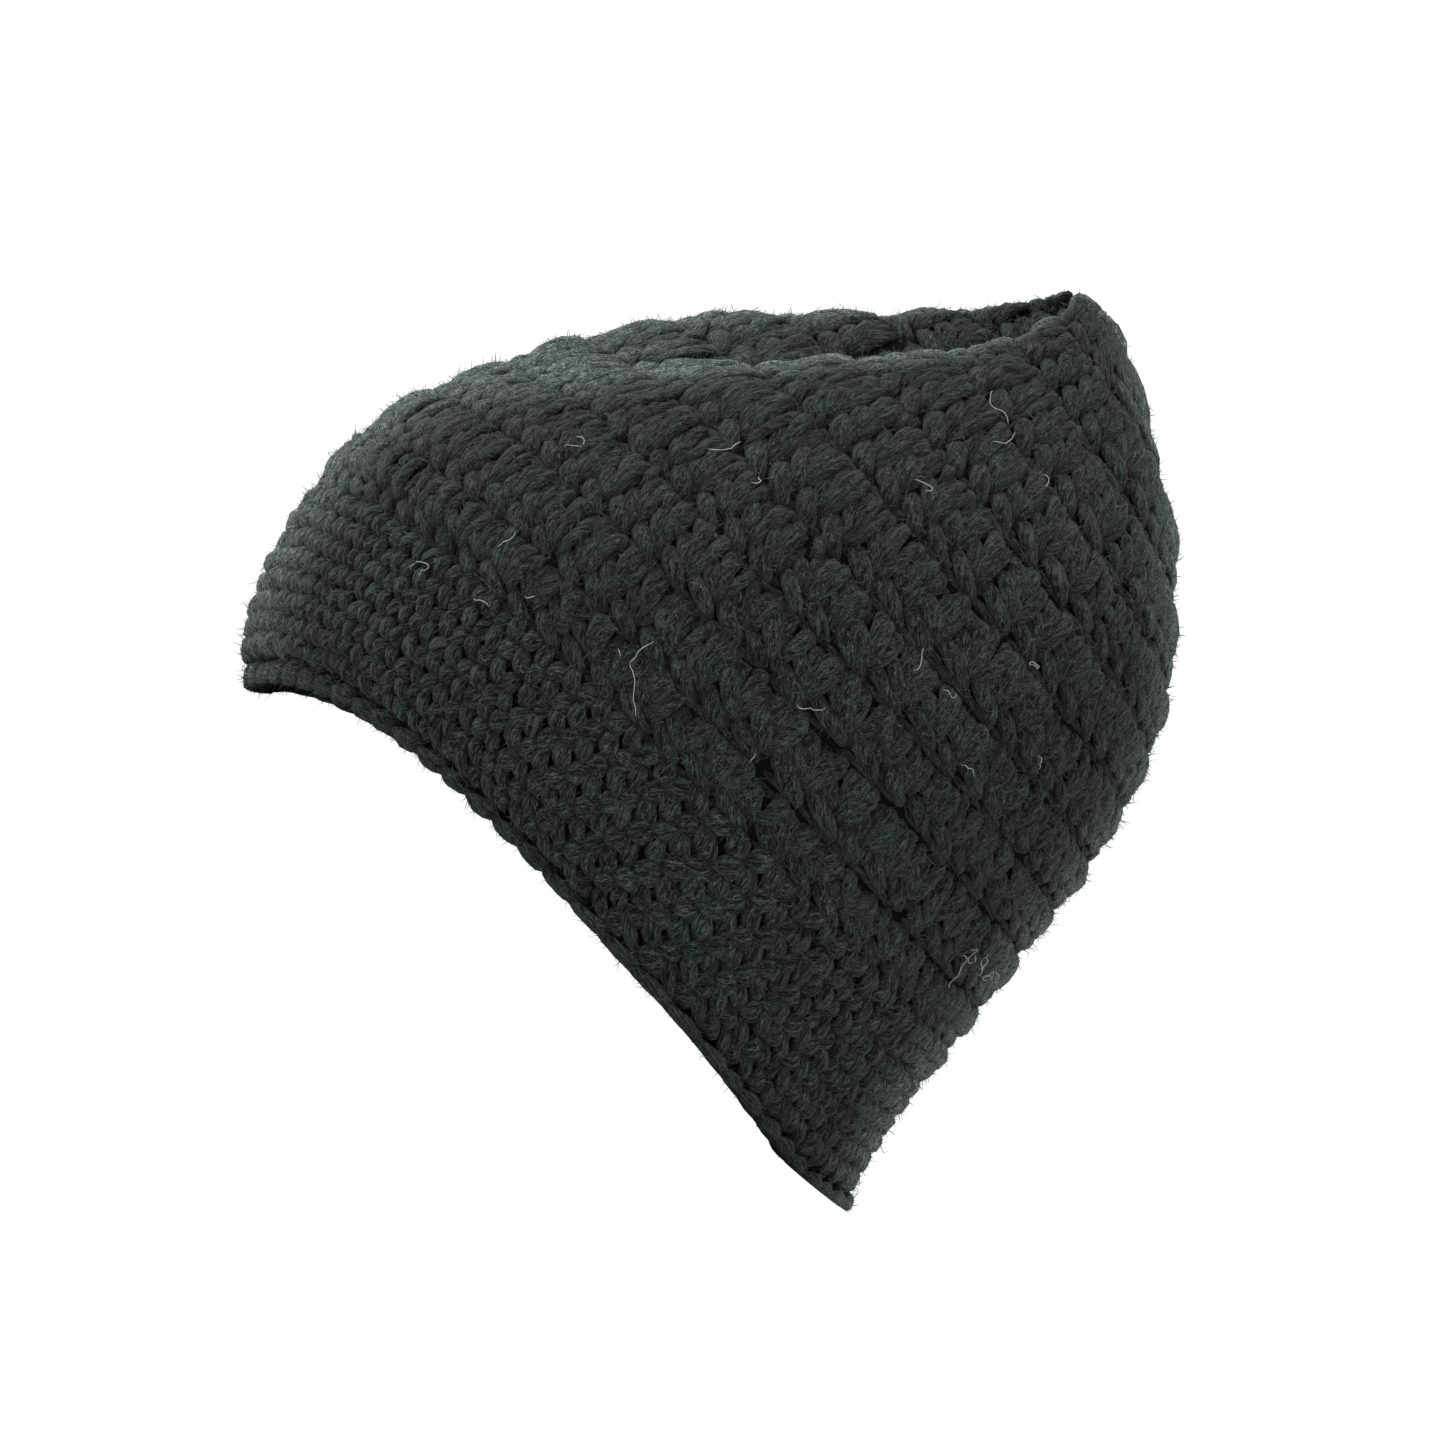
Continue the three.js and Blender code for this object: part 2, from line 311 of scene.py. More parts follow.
def smooth_line(points, steps):
    """Evenly numbered points on a smooth curve through the given ones."""
    points = np.asarray(points, float)
    padded = np.vstack([2 * points[0] - points[1], points, 2 * points[-1] - points[-2]])
    place = np.linspace(0, len(points) - 1, steps + 1)
    low = np.minimum(place.astype(int), len(points) - 2)
    share = (place - low)[:, None]
    return curve_between(*(padded[low + step] for step in range(4)), share)


def sweep(line, half_widths, half_thicks, sides, side_hint=None):
    """Rings of points round a line, with the distance along it. The side hint keeps them untwisted."""
    tangents = np.gradient(line, axis=0)
    tangents /= np.linalg.norm(tangents, axis=1, keepdims=True)
    if side_hint is None:
        chord = line[-1] - line[0]
        side_hint = np.array([chord[1], -chord[0], 0.0])
    side = side_hint - (tangents @ side_hint)[:, None] * tangents
    side /= np.linalg.norm(side, axis=1, keepdims=True)
    over = np.cross(side, tangents)
    round_it = np.linspace(0, 2 * np.pi, sides, endpoint=False)
    rings = (
        line[:, None, :]
        + side[:, None, :] * (np.cos(round_it)[None, :, None] * half_widths[:, None, None])
        + over[:, None, :] * (np.sin(round_it)[None, :, None] * half_thicks[:, None, None])
    )
    lengths = np.concatenate([[0], np.cumsum(np.linalg.norm(np.diff(line, axis=0), axis=1))])
    return rings, lengths


def tube_mesh(name, rings, lengths):
    """A closed tube from rings of points. Its UV map holds millimetres along it and the way round it."""
    count, sides = rings.shape[:2]
    faces, corners = [], []
    for ring in range(count - 1):
        for side in range(sides):
            onward = (side + 1) % sides
            faces.append((ring * sides + side, (ring + 1) * sides + side,
                          (ring + 1) * sides + onward, ring * sides + onward))
            low, high = lengths[ring] / MM, lengths[ring + 1] / MM
            near, far = side / sides, (side + 1) / sides
            corners += [(low, near), (high, near), (high, far), (low, far)]
    for ring, order in ((0, range(sides)), (count - 1, range(sides - 1, -1, -1))):
        faces.append(tuple(ring * sides + side for side in order))
        corners += [(lengths[ring] / MM, side / sides) for side in order]
    mesh = bpy.data.meshes.new(name)
    mesh.from_pydata(rings.reshape(-1, 3).tolist(), [], faces)
    mesh.uv_layers.new(name="fibre").uv.foreach_set("vector", np.array(corners, np.float32).reshape(-1))
    mesh.polygons.foreach_set("use_smooth", [True] * len(faces))
    mesh.update()
    return mesh


def strand_object(name, points, half_widths, half_thick, steps=YARN_STEPS, sides=YARN_SIDES):
    """One strand for the stitch library, from points in millimetres, ready to be repeated."""
    line = smooth_line(points, steps) * MM
    given = np.array([(width * LOOSENESS, 0, 0) for width in half_widths], float)
    widths = smooth_line(given, steps)[:, 0] * MM
    thicks = np.minimum(widths, half_thick * MM)
    rings, lengths = sweep(line, widths, thicks, sides)
    return bpy.data.objects.new(name, tube_mesh(name, rings, lengths))


# %% [markdown]
# ### The stitch library
# A tall stitch fills a cell 8.6 mm wide and 16 mm high. Its loop opens upwards as a fan of three
# lengths of yarn that run together near the foot, a length lies slanting across it, and a plump one
# lies along the foot. A short stitch is a V of two plump legs over a low bar. The rim's chain is a
# rope of long flat lengths that overlap. Numbers are millimetres across, up and out, where 0 out is
# the hat's surface.

# %% Draw the strands of each stitch
TALL_CELL = (8.6, 16.0)
SHORT_CELL = (8.6, 4.75)
CHAIN_CELL = (8.6, 4.6)

TALL_STRANDS = [
    ([(1.9, 16.4, -3.4), (2.1, 15.0, -1.8), (3.1, 12.4, -1.1),
      (4.6, 9.4, -1.1), (6.0, 6.8, -2.2), (6.9, 4.9, -3.9)],
     [1.45, 1.6, 1.5, 1.35, 1.2, 1.0], 1.25),
    ([(4.7, 16.5, -3.4), (4.7, 15.1, -1.6), (5.2, 12.4, -0.9),
      (6.0, 9.2, -0.95), (6.7, 6.6, -2.1), (7.2, 4.8, -3.9)],
     [1.4, 1.5, 1.4, 1.2, 1.1, 0.9], 1.2),
    ([(7.6, 16.5, -3.4), (7.7, 15.0, -1.7), (7.8, 12.2, -1.0),
      (7.7, 9.2, -1.1), (7.5, 6.6, -2.0), (7.4, 4.6, -3.8)],
     [1.3, 1.4, 1.35, 1.2, 1.1, 1.0], 1.25),
    ([(-1.1, 11.6, -3.6), (0.1, 10.6, -2.0), (1.8, 9.0, -1.2),
      (3.7, 7.3, -1.25), (5.4, 5.8, -1.9), (7.0, 4.4, -3.6)],
     [1.3, 1.6, 1.75, 1.7, 1.5, 1.2], 1.2),
    ([(-0.7, 6.4, -3.4), (0.3, 5.2, -2.0), (2.0, 3.8, -1.4),
      (4.2, 2.6, -1.4), (6.1, 1.6, -2.0), (7.8, 0.7, -3.4)],
     [1.4, 1.8, 1.9, 1.8, 1.5, 1.2], 1.2),
    ([(-0.8, 16.0, -3.4), (0.0, 15.1, -2.0), (0.6, 14.0, -1.8), (1.2, 12.7, -3.2)],
     [1.1, 1.2, 1.15, 1.0], 1.1),
    ([(-0.6, 0.3, -3.3), (2.0, 0.5, -2.7), (5.0, 0.3, -2.7), (8.2, 0.0, -3.3)],
     [1.1, 1.2, 1.2, 1.1], 1.1),
]
SHORT_STRANDS = [
    ([(1.1, 5.0, -3.6), (1.5, 4.2, -1.7), (2.1, 2.7, -0.6), (2.8, 1.1, -1.7), (3.3, 0.1, -3.6)],
     [1.2, 1.7, 1.95, 1.7, 1.2], 1.5),
    ([(7.5, 4.9, -3.6), (7.1, 4.1, -1.8), (6.5, 2.6, -0.7), (5.8, 1.1, -1.8), (5.3, 0.1, -3.6)],
     [1.2, 1.7, 1.95, 1.7, 1.2], 1.5),
    ([(-0.4, 5.0, -3.7), (2.4, 5.1, -3.3), (5.6, 5.1, -3.3), (9.0, 5.0, -3.7)],
     [1.1, 1.2, 1.2, 1.1], 1.1),
]
CHAIN_STRANDS = [
    ([(-1.2, 1.1, -3.0), (0.8, 1.4, -1.3), (3.4, 1.9, -0.7),
      (6.2, 2.5, -0.9), (8.2, 3.1, -2.0), (9.4, 3.3, -3.6)],
     [1.0, 1.35, 1.5, 1.4, 1.2, 1.0], 1.25),
    ([(-0.8, 1.0, -3.8), (2.0, 1.0, -2.9), (5.0, 1.0, -2.9), (8.0, 1.0, -3.8)],
     [0.9, 1.0, 1.0, 0.9], 1.2),
    ([(9.4, 1.1, -2.8), (7.4, 1.4, -4.3), (4.8, 1.9, -5.0),
      (2.0, 2.5, -4.8), (0.0, 3.1, -3.8), (-1.2, 3.3, -2.6)],
     [1.0, 1.35, 1.5, 1.4, 1.2, 1.0], 1.25),
]
TALL_INSIDE = [
    ([(4.6, 16.3, -2.6), (4.3, 13.5, -3.8), (4.0, 9.5, -4.0), (4.4, 5.5, -3.9), (4.9, 3.0, -2.6)],
     [1.4, 1.8, 1.8, 1.7, 1.3], 1.3),
    ([(8.8, 11.5, -2.6), (7.6, 9.8, -3.8), (6.6, 7.2, -3.9), (7.2, 4.2, -3.6), (8.2, 2.6, -2.6)],
     [1.3, 1.6, 1.7, 1.6, 1.2], 1.3),
    ([(-0.4, 1.2, -3.2), (2.0, 2.0, -4.1), (5.0, 1.6, -4.1), (8.6, 1.0, -3.2)],
     [1.3, 1.5, 1.5, 1.3], 1.2),
    ([(0.6, 15.5, -2.6), (0.9, 13.0, -3.7), (1.2, 10.5, -3.8), (1.6, 8.0, -2.8)],
     [1.3, 1.6, 1.6, 1.3], 1.2),
]
SHORT_INSIDE = [
    ([(-0.4, 3.9, -3.0), (2.2, 3.4, -4.1), (4.6, 3.6, -4.1), (8.4, 3.9, -3.0)],
     [1.2, 1.4, 1.4, 1.2], 1.2),
    ([(2.6, 0.4, -3.0), (4.4, 1.1, -3.9), (6.4, 1.0, -3.8), (8.2, 0.4, -2.9)],
     [1.1, 1.3, 1.3, 1.1], 1.1),
]


def stitch_library(name, strands, steps=YARN_STEPS, sides=YARN_SIDES):
    """A collection with one object for each strand of a stitch, named in their order."""
    library = bpy.data.collections.new(name)
    bpy.context.scene.collection.children.link(library)
    for number, (points, widths, thick) in enumerate(strands):
        library.objects.link(strand_object(f"{name}_{number:02d}", points, widths, thick, steps, sides))
    return library


tall_library = stitch_library("tall_stitch", TALL_STRANDS)
short_library = stitch_library("short_stitch", SHORT_STRANDS, steps=5)
chain_library = stitch_library("chain_stitch", CHAIN_STRANDS)
tall_inner_library = stitch_library("tall_inside", TALL_INSIDE, steps=3, sides=5)
short_inner_library = stitch_library("short_inside", SHORT_INSIDE, steps=3, sides=5)

# %% [markdown]
# ## Where each stitch goes
# On the chart a stitch is only a point, with the size of its cell. The chart is as wide as the
# broadest round and 16 mm high for each round, so a tall stitch there keeps its true size. Towards
# the top there are fewer stitches to a round, as the maker left some out to close the crown. The
# rows of the brim follow the arch of the rim, so their heights are measured along the surface.

# %% Chart the stitches
BROADEST_ROUND = 66
GIRTH = BROADEST_ROUND * TALL_CELL[0] * MM
CLIMB = TALL_CELL[1] * MM
TALL_ROUNDS = [66, 66, 65, 62, 58, 54, 47, 38, 28, 16]
SHORT_ROWS = 8
CHAIN_HEIGHT = 4.6 * MM
CHAIN_GAP = -0.3 * MM
LEAN_PER_ROUND = 0.42
GROOVE_SHARES = [0.0, 0.13]
STEEPEST_LEAN = 1.0


def distance_levels(angle, start, share):
    """The level at a share of the way from a starting level up to the top of the brim."""
    levels = np.linspace(start, BRIM_TOP, 60)
    places = hat_point(levels, angle)
    climbed = np.concatenate([[0], np.cumsum(np.linalg.norm(np.diff(places, axis=0), axis=1))])
    return float(np.interp(share * climbed[-1], climbed, levels))


def level_above_rim(angle, rise):
    """The level that lies a given height above the rim."""
    levels = np.linspace(0, 1.5, 200)
    heights = hat_point(levels, angle)[:, 2]
    return float(np.interp(heights[0] + rise, heights, levels))


def upright_lean(level, angle):
    """How far a stitch leans on the chart, for each unit up it, to stand square to its round."""
    onward = hat_point(level, angle + TURN_STEP) - hat_point(level, angle - TURN_STEP)
    upward = hat_point(level + TURN_STEP, angle) - hat_point(level - TURN_STEP, angle)
    lean = -float(upward @ onward) / float(onward @ onward) * GIRTH / (2 * math.pi * CLIMB)
    return max(-STEEPEST_LEAN, min(STEEPEST_LEAN, lean))


def cell(stitch, count, low, high, nominal, lean=0.0):
    """One stitch as (across, up, width factor, height factor, lean) on the chart."""
    width = GIRTH / count
    height = (high - low) * CLIMB
    return (stitch * width, low * CLIMB, width / (nominal[0] * MM), height / (nominal[1] * MM), lean)


def groove_share(turn):
    """How much of a tall stitch gives way to the groove above it: little in front, most behind."""
    behind = (1 - math.cos(2 * math.pi * turn)) / 2
    return float(np.interp(behind, [0.2, 0.6], GROOVE_SHARES))


def tall_cells(rounds):
    """Cells of the tall stitches of some rounds."""
    cells = []
    for number in rounds:
        count = TALL_ROUNDS[number]
        for stitch in range(count):
            low = BRIM_TOP + number
            place = stitch + LEAN_PER_ROUND * number
            high = low + 1 - groove_share(place / count)
            lean = upright_lean(low + 0.5, 2 * math.pi * (place + 0.5) / count)
            cells.append(cell(place, count, low, high, TALL_CELL, lean))
    return cells


def short_cells():
    """Cells of the short stitches of the brim."""
    cells = []
    for stitch in range(BROADEST_ROUND):
        angle = 2 * np.pi * (stitch + 0.5) / BROADEST_ROUND
        start = level_above_rim(angle, CHAIN_HEIGHT + CHAIN_GAP)
        edges = [distance_levels(angle, start, row / SHORT_ROWS) for row in range(SHORT_ROWS + 1)]
        for row in range(SHORT_ROWS):
            shift = stitch - LEAN_PER_ROUND * (SHORT_ROWS - row)
            cells.append(cell(shift, BROADEST_ROUND, edges[row], edges[row + 1], SHORT_CELL))
    return cells


def chain_cells():
    """Cells of the chain along the rim."""
    cells = []
    for stitch in range(BROADEST_ROUND):
        angle = 2 * np.pi * (stitch + 0.5) / BROADEST_ROUND
        cells.append(cell(stitch, BROADEST_ROUND, 0, level_above_rim(angle, CHAIN_HEIGHT), CHAIN_CELL))
    return cells


def closing_cells():
    """A few short stitches that close the point of the crown."""
    count = 8
    return [cell(stitch, count, CROWN_TOP - 0.1, CROWN_TOP + 0.8, SHORT_CELL) for stitch in range(count)]


print("tall:", sum(TALL_ROUNDS), "short:", BROADEST_ROUND * SHORT_ROWS, "chain:", BROADEST_ROUND)

# %% [markdown]
# ## Laying the stitches with Geometry Nodes
# Each point on the chart becomes one strand, picked from the library by its number. The strands of
# one stitch share a small random shift, and each has a little of its own, because no two hand-made
# stitches are alike. A slow noise bends neighbours together. A tall stitch is slanted on the chart,
# so that it stands square to its round on the hat. Last, the flat chart is wrapped: the guide gives
# the place and the outward direction at each point. Doing this in a node tree keeps about eight
# thousand strands as one short rule with named sizes.

# %% Helpers for building node trees
def socket_of(sockets, key):
    """One socket, by its place in the list or by the name that the editor shows."""
    if isinstance(key, int):
        return sockets[key]
    return next(socket for socket in sockets if socket.name == key and socket.enabled)


def add_node(tree, kind, inputs=None, **options):
    """Add a node, set its options, and fill or link its inputs. A node given as an input is linked."""
    node = tree.nodes.new(kind)
    for option, value in options.items():
        setattr(node, option, value)
    for key, value in (inputs or {}).items():
        socket = socket_of(node.inputs, key)
        if isinstance(value, bpy.types.Node):
            value = next(output for output in value.outputs if output.enabled)
        if isinstance(value, bpy.types.NodeSocket):
            tree.links.new(value, socket)
        else:
            socket.default_value = value
    return node


def calculate(tree, operation, *values):
    """A Math node."""
    return add_node(tree, "ShaderNodeMath", dict(enumerate(values)), operation=operation)


def combine(tree, operation, *values):
    """A Vector Math node."""
    return add_node(tree, "ShaderNodeVectorMath", dict(enumerate(values)), operation=operation)


def scaled(tree, vector, factor):
    """A vector times a number."""
    return add_node(tree, "ShaderNodeVectorMath", {0: vector, "Scale": factor}, operation="SCALE")


def mapped(tree, value, given, wanted):
    """A value carried from one range to another, and held within it."""
    return add_node(tree, "ShaderNodeMapRange",
                    {"Value": value, "From Min": given[0], "From Max": given[1],
                     "To Min": wanted[0], "To Max": wanted[1]}, clamp=True)


def named(tree, name, kind="FLOAT_VECTOR"):
    """A named attribute of the geometry."""
    return add_node(tree, "GeometryNodeInputNamedAttribute", {"Name": name}, data_type=kind)


def stored(tree, geometry, name, value, kind, domain="POINT"):
    """The geometry with one more named attribute."""
    return add_node(tree, "GeometryNodeStoreNamedAttribute",
                    {"Geometry": geometry, "Name": name, "Value": value}, data_type=kind, domain=domain)


def random_vector(tree, low, high, seed, **more):
    """A random vector between two others for each point."""
    return add_node(tree, "FunctionNodeRandomValue", {"Min": low, "Max": high, "Seed": seed, **more},
                    data_type="FLOAT_VECTOR")


def new_tree(name, wanted):
    """A geometry node tree with named inputs, given as (name, socket type, value)."""
    tree = bpy.data.node_groups.new(name, "GeometryNodeTree")
    tree.interface.new_socket("Geometry", in_out="INPUT", socket_type="NodeSocketGeometry")
    tree.interface.new_socket("Geometry", in_out="OUTPUT", socket_type="NodeSocketGeometry")
    for title, kind, value in wanted:
        made = tree.interface.new_socket(title, in_out="INPUT", socket_type=kind)
        if isinstance(value, (int, float)):
            made.default_value = value
    return tree, tree.nodes.new("NodeGroupInput"), tree.nodes.new("NodeGroupOutput")


def run_tree(name, mesh, tree, values):
    """Run a tree on a mesh with the given input values, and return the result as a plain object."""
    source = add_object(name + "_source", mesh)
    modifier = source.modifiers.new("make", "NODES")
    modifier.node_group = tree
    for item in tree.interface.items_tree:
        if item.in_out == "INPUT" and item.name in values:
            modifier[item.identifier] = values[item.name]
    bpy.context.view_layer.update()
    evaluated = source.evaluated_get(bpy.context.evaluated_depsgraph_get())
    made = bpy.data.meshes.new_from_object(evaluated)
    bpy.data.objects.remove(source)
    made.name = name
    piece = add_object(name, made)
    for spare in ("size", "leaning", "strand", "stitch"):
        if spare in made.attributes:
            made.attributes.remove(made.attributes[spare])
    print(name, "triangles:", sum(len(face.vertices) - 2 for face in made.polygons))
    return piece


NOISE_REACH = 2.5
PRESSED_SHARE = 0.15
PRESSED_LIFT = 0.3 * MM


def above_floor(tree, place):
    """Presses what would sink into the floor into a thin layer on it, without folding it over."""
    parts = add_node(tree, "ShaderNodeSeparateXYZ", {0: place})
    pressed = calculate(tree, "MULTIPLY_ADD", parts.outputs["Z"], PRESSED_SHARE, PRESSED_LIFT)
    lifted = calculate(tree, "MAXIMUM", parts.outputs["Z"], pressed)
    return add_node(tree, "ShaderNodeCombineXYZ",
                    {"X": parts.outputs["X"], "Y": parts.outputs["Y"], "Z": lifted})


def wandering(tree, place, scale, amount):
    """A noise offset of about the given amount each way. A larger scale gives shorter waves."""
    noise = add_node(tree, "ShaderNodeTexNoise", {"Vector": place, "Scale": scale, "Detail": 1.0})
    centred = combine(tree, "SUBTRACT", noise.outputs["Color"], (0.5, 0.5, 0.5))
    return scaled(tree, centred, calculate(tree, "MULTIPLY", amount, NOISE_REACH))


# %% The tree that lays strands and wraps them on the hat
STITCH_SHIFT = 0.3 * MM
STRAND_TURN = 0.09
BEND = 0.5 * MM
LUMPS = 0.35 * MM
BEND_SCALE = 130.0
LUMP_SCALE = 420.0
CHART_EDGE = 0.0005


def laying_tree():
    """The node tree that turns chart points into yarn on the hat."""
    tree, given, result = new_tree("lay_stitches", [
        ("Guide", "NodeSocketObject", None),
        ("Strands", "NodeSocketCollection", None),
        ("Material", "NodeSocketMaterial", None),
        ("Girth", "NodeSocketFloat", GIRTH),
        ("Chart height", "NodeSocketFloat", CLIMB * POLE),
        ("Stitch shift", "NodeSocketFloat", STITCH_SHIFT),
        ("Strand turn", "NodeSocketFloat", STRAND_TURN),
        ("Bend", "NodeSocketFloat", BEND),
        ("Lumps", "NodeSocketFloat", LUMPS),
        ("Seed", "NodeSocketInt", 1),
    ])
    value = given.outputs
    stitch, strand = named(tree, "stitch", "INT"), named(tree, "strand", "INT")
    size = named(tree, "size")
    shift_way = random_vector(tree, (-1, -1, -0.8), (1, 1, 0.8), value["Seed"], ID=stitch)
    shift = scaled(tree, shift_way, value["Stitch shift"])
    moved = add_node(tree, "GeometryNodeSetPosition", {"Geometry": value["Geometry"], "Offset": shift})
    turn_way = random_vector(tree, (-1, -1, -1), (1, 1, 1), value["Seed"])
    widened = add_node(tree, "ShaderNodeSeparateXYZ", {0: size}).outputs["X"]
    turn_size = calculate(tree, "DIVIDE", value["Strand turn"], widened)
    turn = scaled(tree, turn_way, turn_size)
    swell = random_vector(tree, (0.96, 0.96, 0.92), (1.06, 1.05, 1.08), value["Seed"])
    scale = combine(tree, "MULTIPLY", size, swell)
    library = add_node(tree, "GeometryNodeCollectionInfo",
                       {"Collection": value["Strands"], "Separate Children": True, "Reset Children": True})
    laid = add_node(tree, "GeometryNodeInstanceOnPoints",
                    {"Points": moved, "Instance": library, "Pick Instance": True, "Instance Index": strand,
                     "Rotation": turn, "Scale": scale})
    tint_value = add_node(tree, "FunctionNodeRandomValue", {"Seed": value["Seed"]}, data_type="FLOAT")
    tinted = stored(tree, laid, "tint", tint_value, "FLOAT", "INSTANCE")
    real = add_node(tree, "GeometryNodeRealizeInstances", {"Geometry": tinted})
    place = add_node(tree, "GeometryNodeInputPosition")
    bend = wandering(tree, place, BEND_SCALE, value["Bend"])
    lumps = wandering(tree, place, LUMP_SCALE, value["Lumps"])
    offset = combine(tree, "ADD", bend, lumps)
    bent = add_node(tree, "GeometryNodeSetPosition", {"Geometry": real, "Offset": offset})
    split = add_node(tree, "ShaderNodeSeparateXYZ", {0: place})
    lean = add_node(tree, "ShaderNodeSeparateXYZ", {0: named(tree, "leaning")})
    above_foot = calculate(tree, "SUBTRACT", split.outputs["Y"], lean.outputs["Y"])
    across = calculate(tree, "MULTIPLY_ADD", above_foot, lean.outputs["X"], split.outputs["X"])
    turned = calculate(tree, "FRACT", calculate(tree, "DIVIDE", across, value["Girth"]))
    risen = calculate(tree, "DIVIDE", split.outputs["Y"], value["Chart height"])
    kept = calculate(tree, "MINIMUM", calculate(tree, "MAXIMUM", risen, CHART_EDGE), 1 - CHART_EDGE)
    spot = add_node(tree, "ShaderNodeCombineXYZ", {"X": turned, "Y": kept})
    shape = add_node(tree, "GeometryNodeObjectInfo", {"Object": value["Guide"]})
    chart_map = named(tree, "chart")
    looked_up = []
    for wanted in (place, named(tree, "outward")):
        looked_up.append(add_node(tree, "GeometryNodeSampleUVSurface",
                                  {"Mesh": shape.outputs["Geometry"], "Value": wanted, "UV Map": chart_map,
                                   "Sample UV": spot}, data_type="FLOAT_VECTOR"))
    wrapped_place = combine(tree, "ADD", looked_up[0], scaled(tree, looked_up[1], split.outputs["Z"]))
    # The height out of the surface is kept as rise, which the yarn material uses to paint shade into deep
    # strands.
    levelled = stored(tree, bent, "rise", calculate(tree, "DIVIDE", split.outputs["Z"], MM), "FLOAT")
    aimed = stored(tree, levelled, "outward", looked_up[1], "FLOAT_VECTOR")
    wrapped = add_node(tree, "GeometryNodeSetPosition",
                       {"Geometry": aimed, "Position": above_floor(tree, wrapped_place)})
    painted = add_node(tree, "GeometryNodeSetMaterial", {"Geometry": wrapped, "Material": value["Material"]})
    tree.links.new(painted.outputs["Geometry"], result.inputs["Geometry"])
    return tree


def chart_mesh(name, cells, strand_count):
    """Points on the chart, one for each strand of each stitch, with what the tree reads from them."""
    places, sizes, leans, strands, stitches = [], [], [], [], []
    for stitch, (across, up, wide, high, lean) in enumerate(cells):
        for strand in range(strand_count):
            places.append((across, up, 0.0))
            sizes.append((wide, high, 1.0))
            leans.append((lean, up, 0.0))
            strands.append(strand)
            stitches.append(stitch)
    mesh = bpy.data.meshes.new(name)
    mesh.from_pydata(places, [], [])
    store_vectors(mesh, "size", sizes)
    store_vectors(mesh, "leaning", leans)
    mesh.attributes.new("strand", "INT", "POINT").data.foreach_set("value", strands)
    mesh.attributes.new("stitch", "INT", "POINT").data.foreach_set("value", stitches)
    return mesh


lay_stitches = laying_tree()
print("nodes in the tree:", len(lay_stitches.nodes))

# %% [markdown]
# ## The yarn's finish
# Up close the yarn is a loose rope of fine fibres that turn slowly round it. Its colour is charcoal,
# but a mix of dyed fibres gives it hints of green and of brown. A picture of fibres could be wrapped
# on, but a noise read on a twisted cylinder makes them without a seam: the UV gives the way round and
# along the strand, and the twist turns one into the other. Thin pale lines along the fibres are partly
# the fibres' own texture and partly painted highlights. Yarn that lies deep between its neighbours is
# painted darker, as painted shade. Where the hat turns away from the eye, the colour is mixed with a
# paler tone, a painted sheen that stands in for loose fibres catching the light. Wool is matt, with a
# soft sheen.

# %% A shader group for twisted fibres
def shader_group(name, inputs, outputs):
    """An empty shader node group with the given sockets."""
    group = bpy.data.node_groups.new(name, "ShaderNodeTree")
    for title, kind, value in inputs:
        made = group.interface.new_socket(title, in_out="INPUT", socket_type=kind)
        if value is not None:
            made.default_value = value
    for title, kind in outputs:
        group.interface.new_socket(title, in_out="OUTPUT", socket_type=kind)
    return group, group.nodes.new("NodeGroupInput"), group.nodes.new("NodeGroupOutput")


STRAND_OFFSET = 91.0
PLIES = 3
PLY_TWIST = 0.03
LINE_HALF_WIDTH = 0.055


def twisted_fibres():
    """Fibres and plies on a strand, from its UV map."""
    group, given, result = shader_group(
        "twisted_fibres",
        [("UV", "NodeSocketVector", None), ("Strand", "NodeSocketFloat", 0.0),
         ("Twist", "NodeSocketFloat", 0.04), ("Fibres", "NodeSocketFloat", 2.3),
         ("Stretch", "NodeSocketFloat", 0.36)],
        [("Fibre", "NodeSocketFloat"), ("Line", "NodeSocketFloat"), ("Ply", "NodeSocketFloat")])
    value = given.outputs
    split = add_node(group, "ShaderNodeSeparateXYZ", {0: value["UV"]})
    along, way_round = split.outputs["X"], split.outputs["Y"]
    turning = calculate(group, "ADD", way_round, calculate(group, "MULTIPLY", along, value["Twist"]))
    angle = calculate(group, "MULTIPLY", turning, 2 * math.pi)
    across = calculate(group, "MULTIPLY", calculate(group, "COSINE", angle), value["Fibres"])
    deep = calculate(group, "MULTIPLY", calculate(group, "SINE", angle), value["Fibres"])
    own = calculate(group, "MULTIPLY", value["Strand"], STRAND_OFFSET)
    far = calculate(group, "ADD", calculate(group, "MULTIPLY", along, value["Stretch"]), own)
    spot = add_node(group, "ShaderNodeCombineXYZ", {"X": across, "Y": deep, "Z": far})
    fibre = add_node(group, "ShaderNodeTexNoise",
                     {"Vector": spot, "Scale": 1.0, "Detail": 2.0, "Roughness": 0.6})
    fine = add_node(group, "ShaderNodeTexNoise",
                    {"Vector": spot, "Scale": 1.7, "Detail": 2.0, "Roughness": 0.65})
    ply_turn = calculate(group, "ADD", turning, calculate(group, "MULTIPLY", along, PLY_TWIST))
    plies = calculate(group, "MULTIPLY", ply_turn, PLIES * math.pi)
    ply = calculate(group, "ABSOLUTE", calculate(group, "SINE", plies))
    from_middle = calculate(group, "ABSOLUTE", calculate(group, "SUBTRACT", fine.outputs["Fac"], 0.5))
    line = mapped(group, from_middle, (0.0, LINE_HALF_WIDTH), (1.0, 0.0))
    group.links.new(line.outputs["Result"], result.inputs["Line"])
    group.links.new(fibre.outputs["Fac"], result.inputs["Fibre"])
    group.links.new(ply.outputs[0], result.inputs["Ply"])
    return group


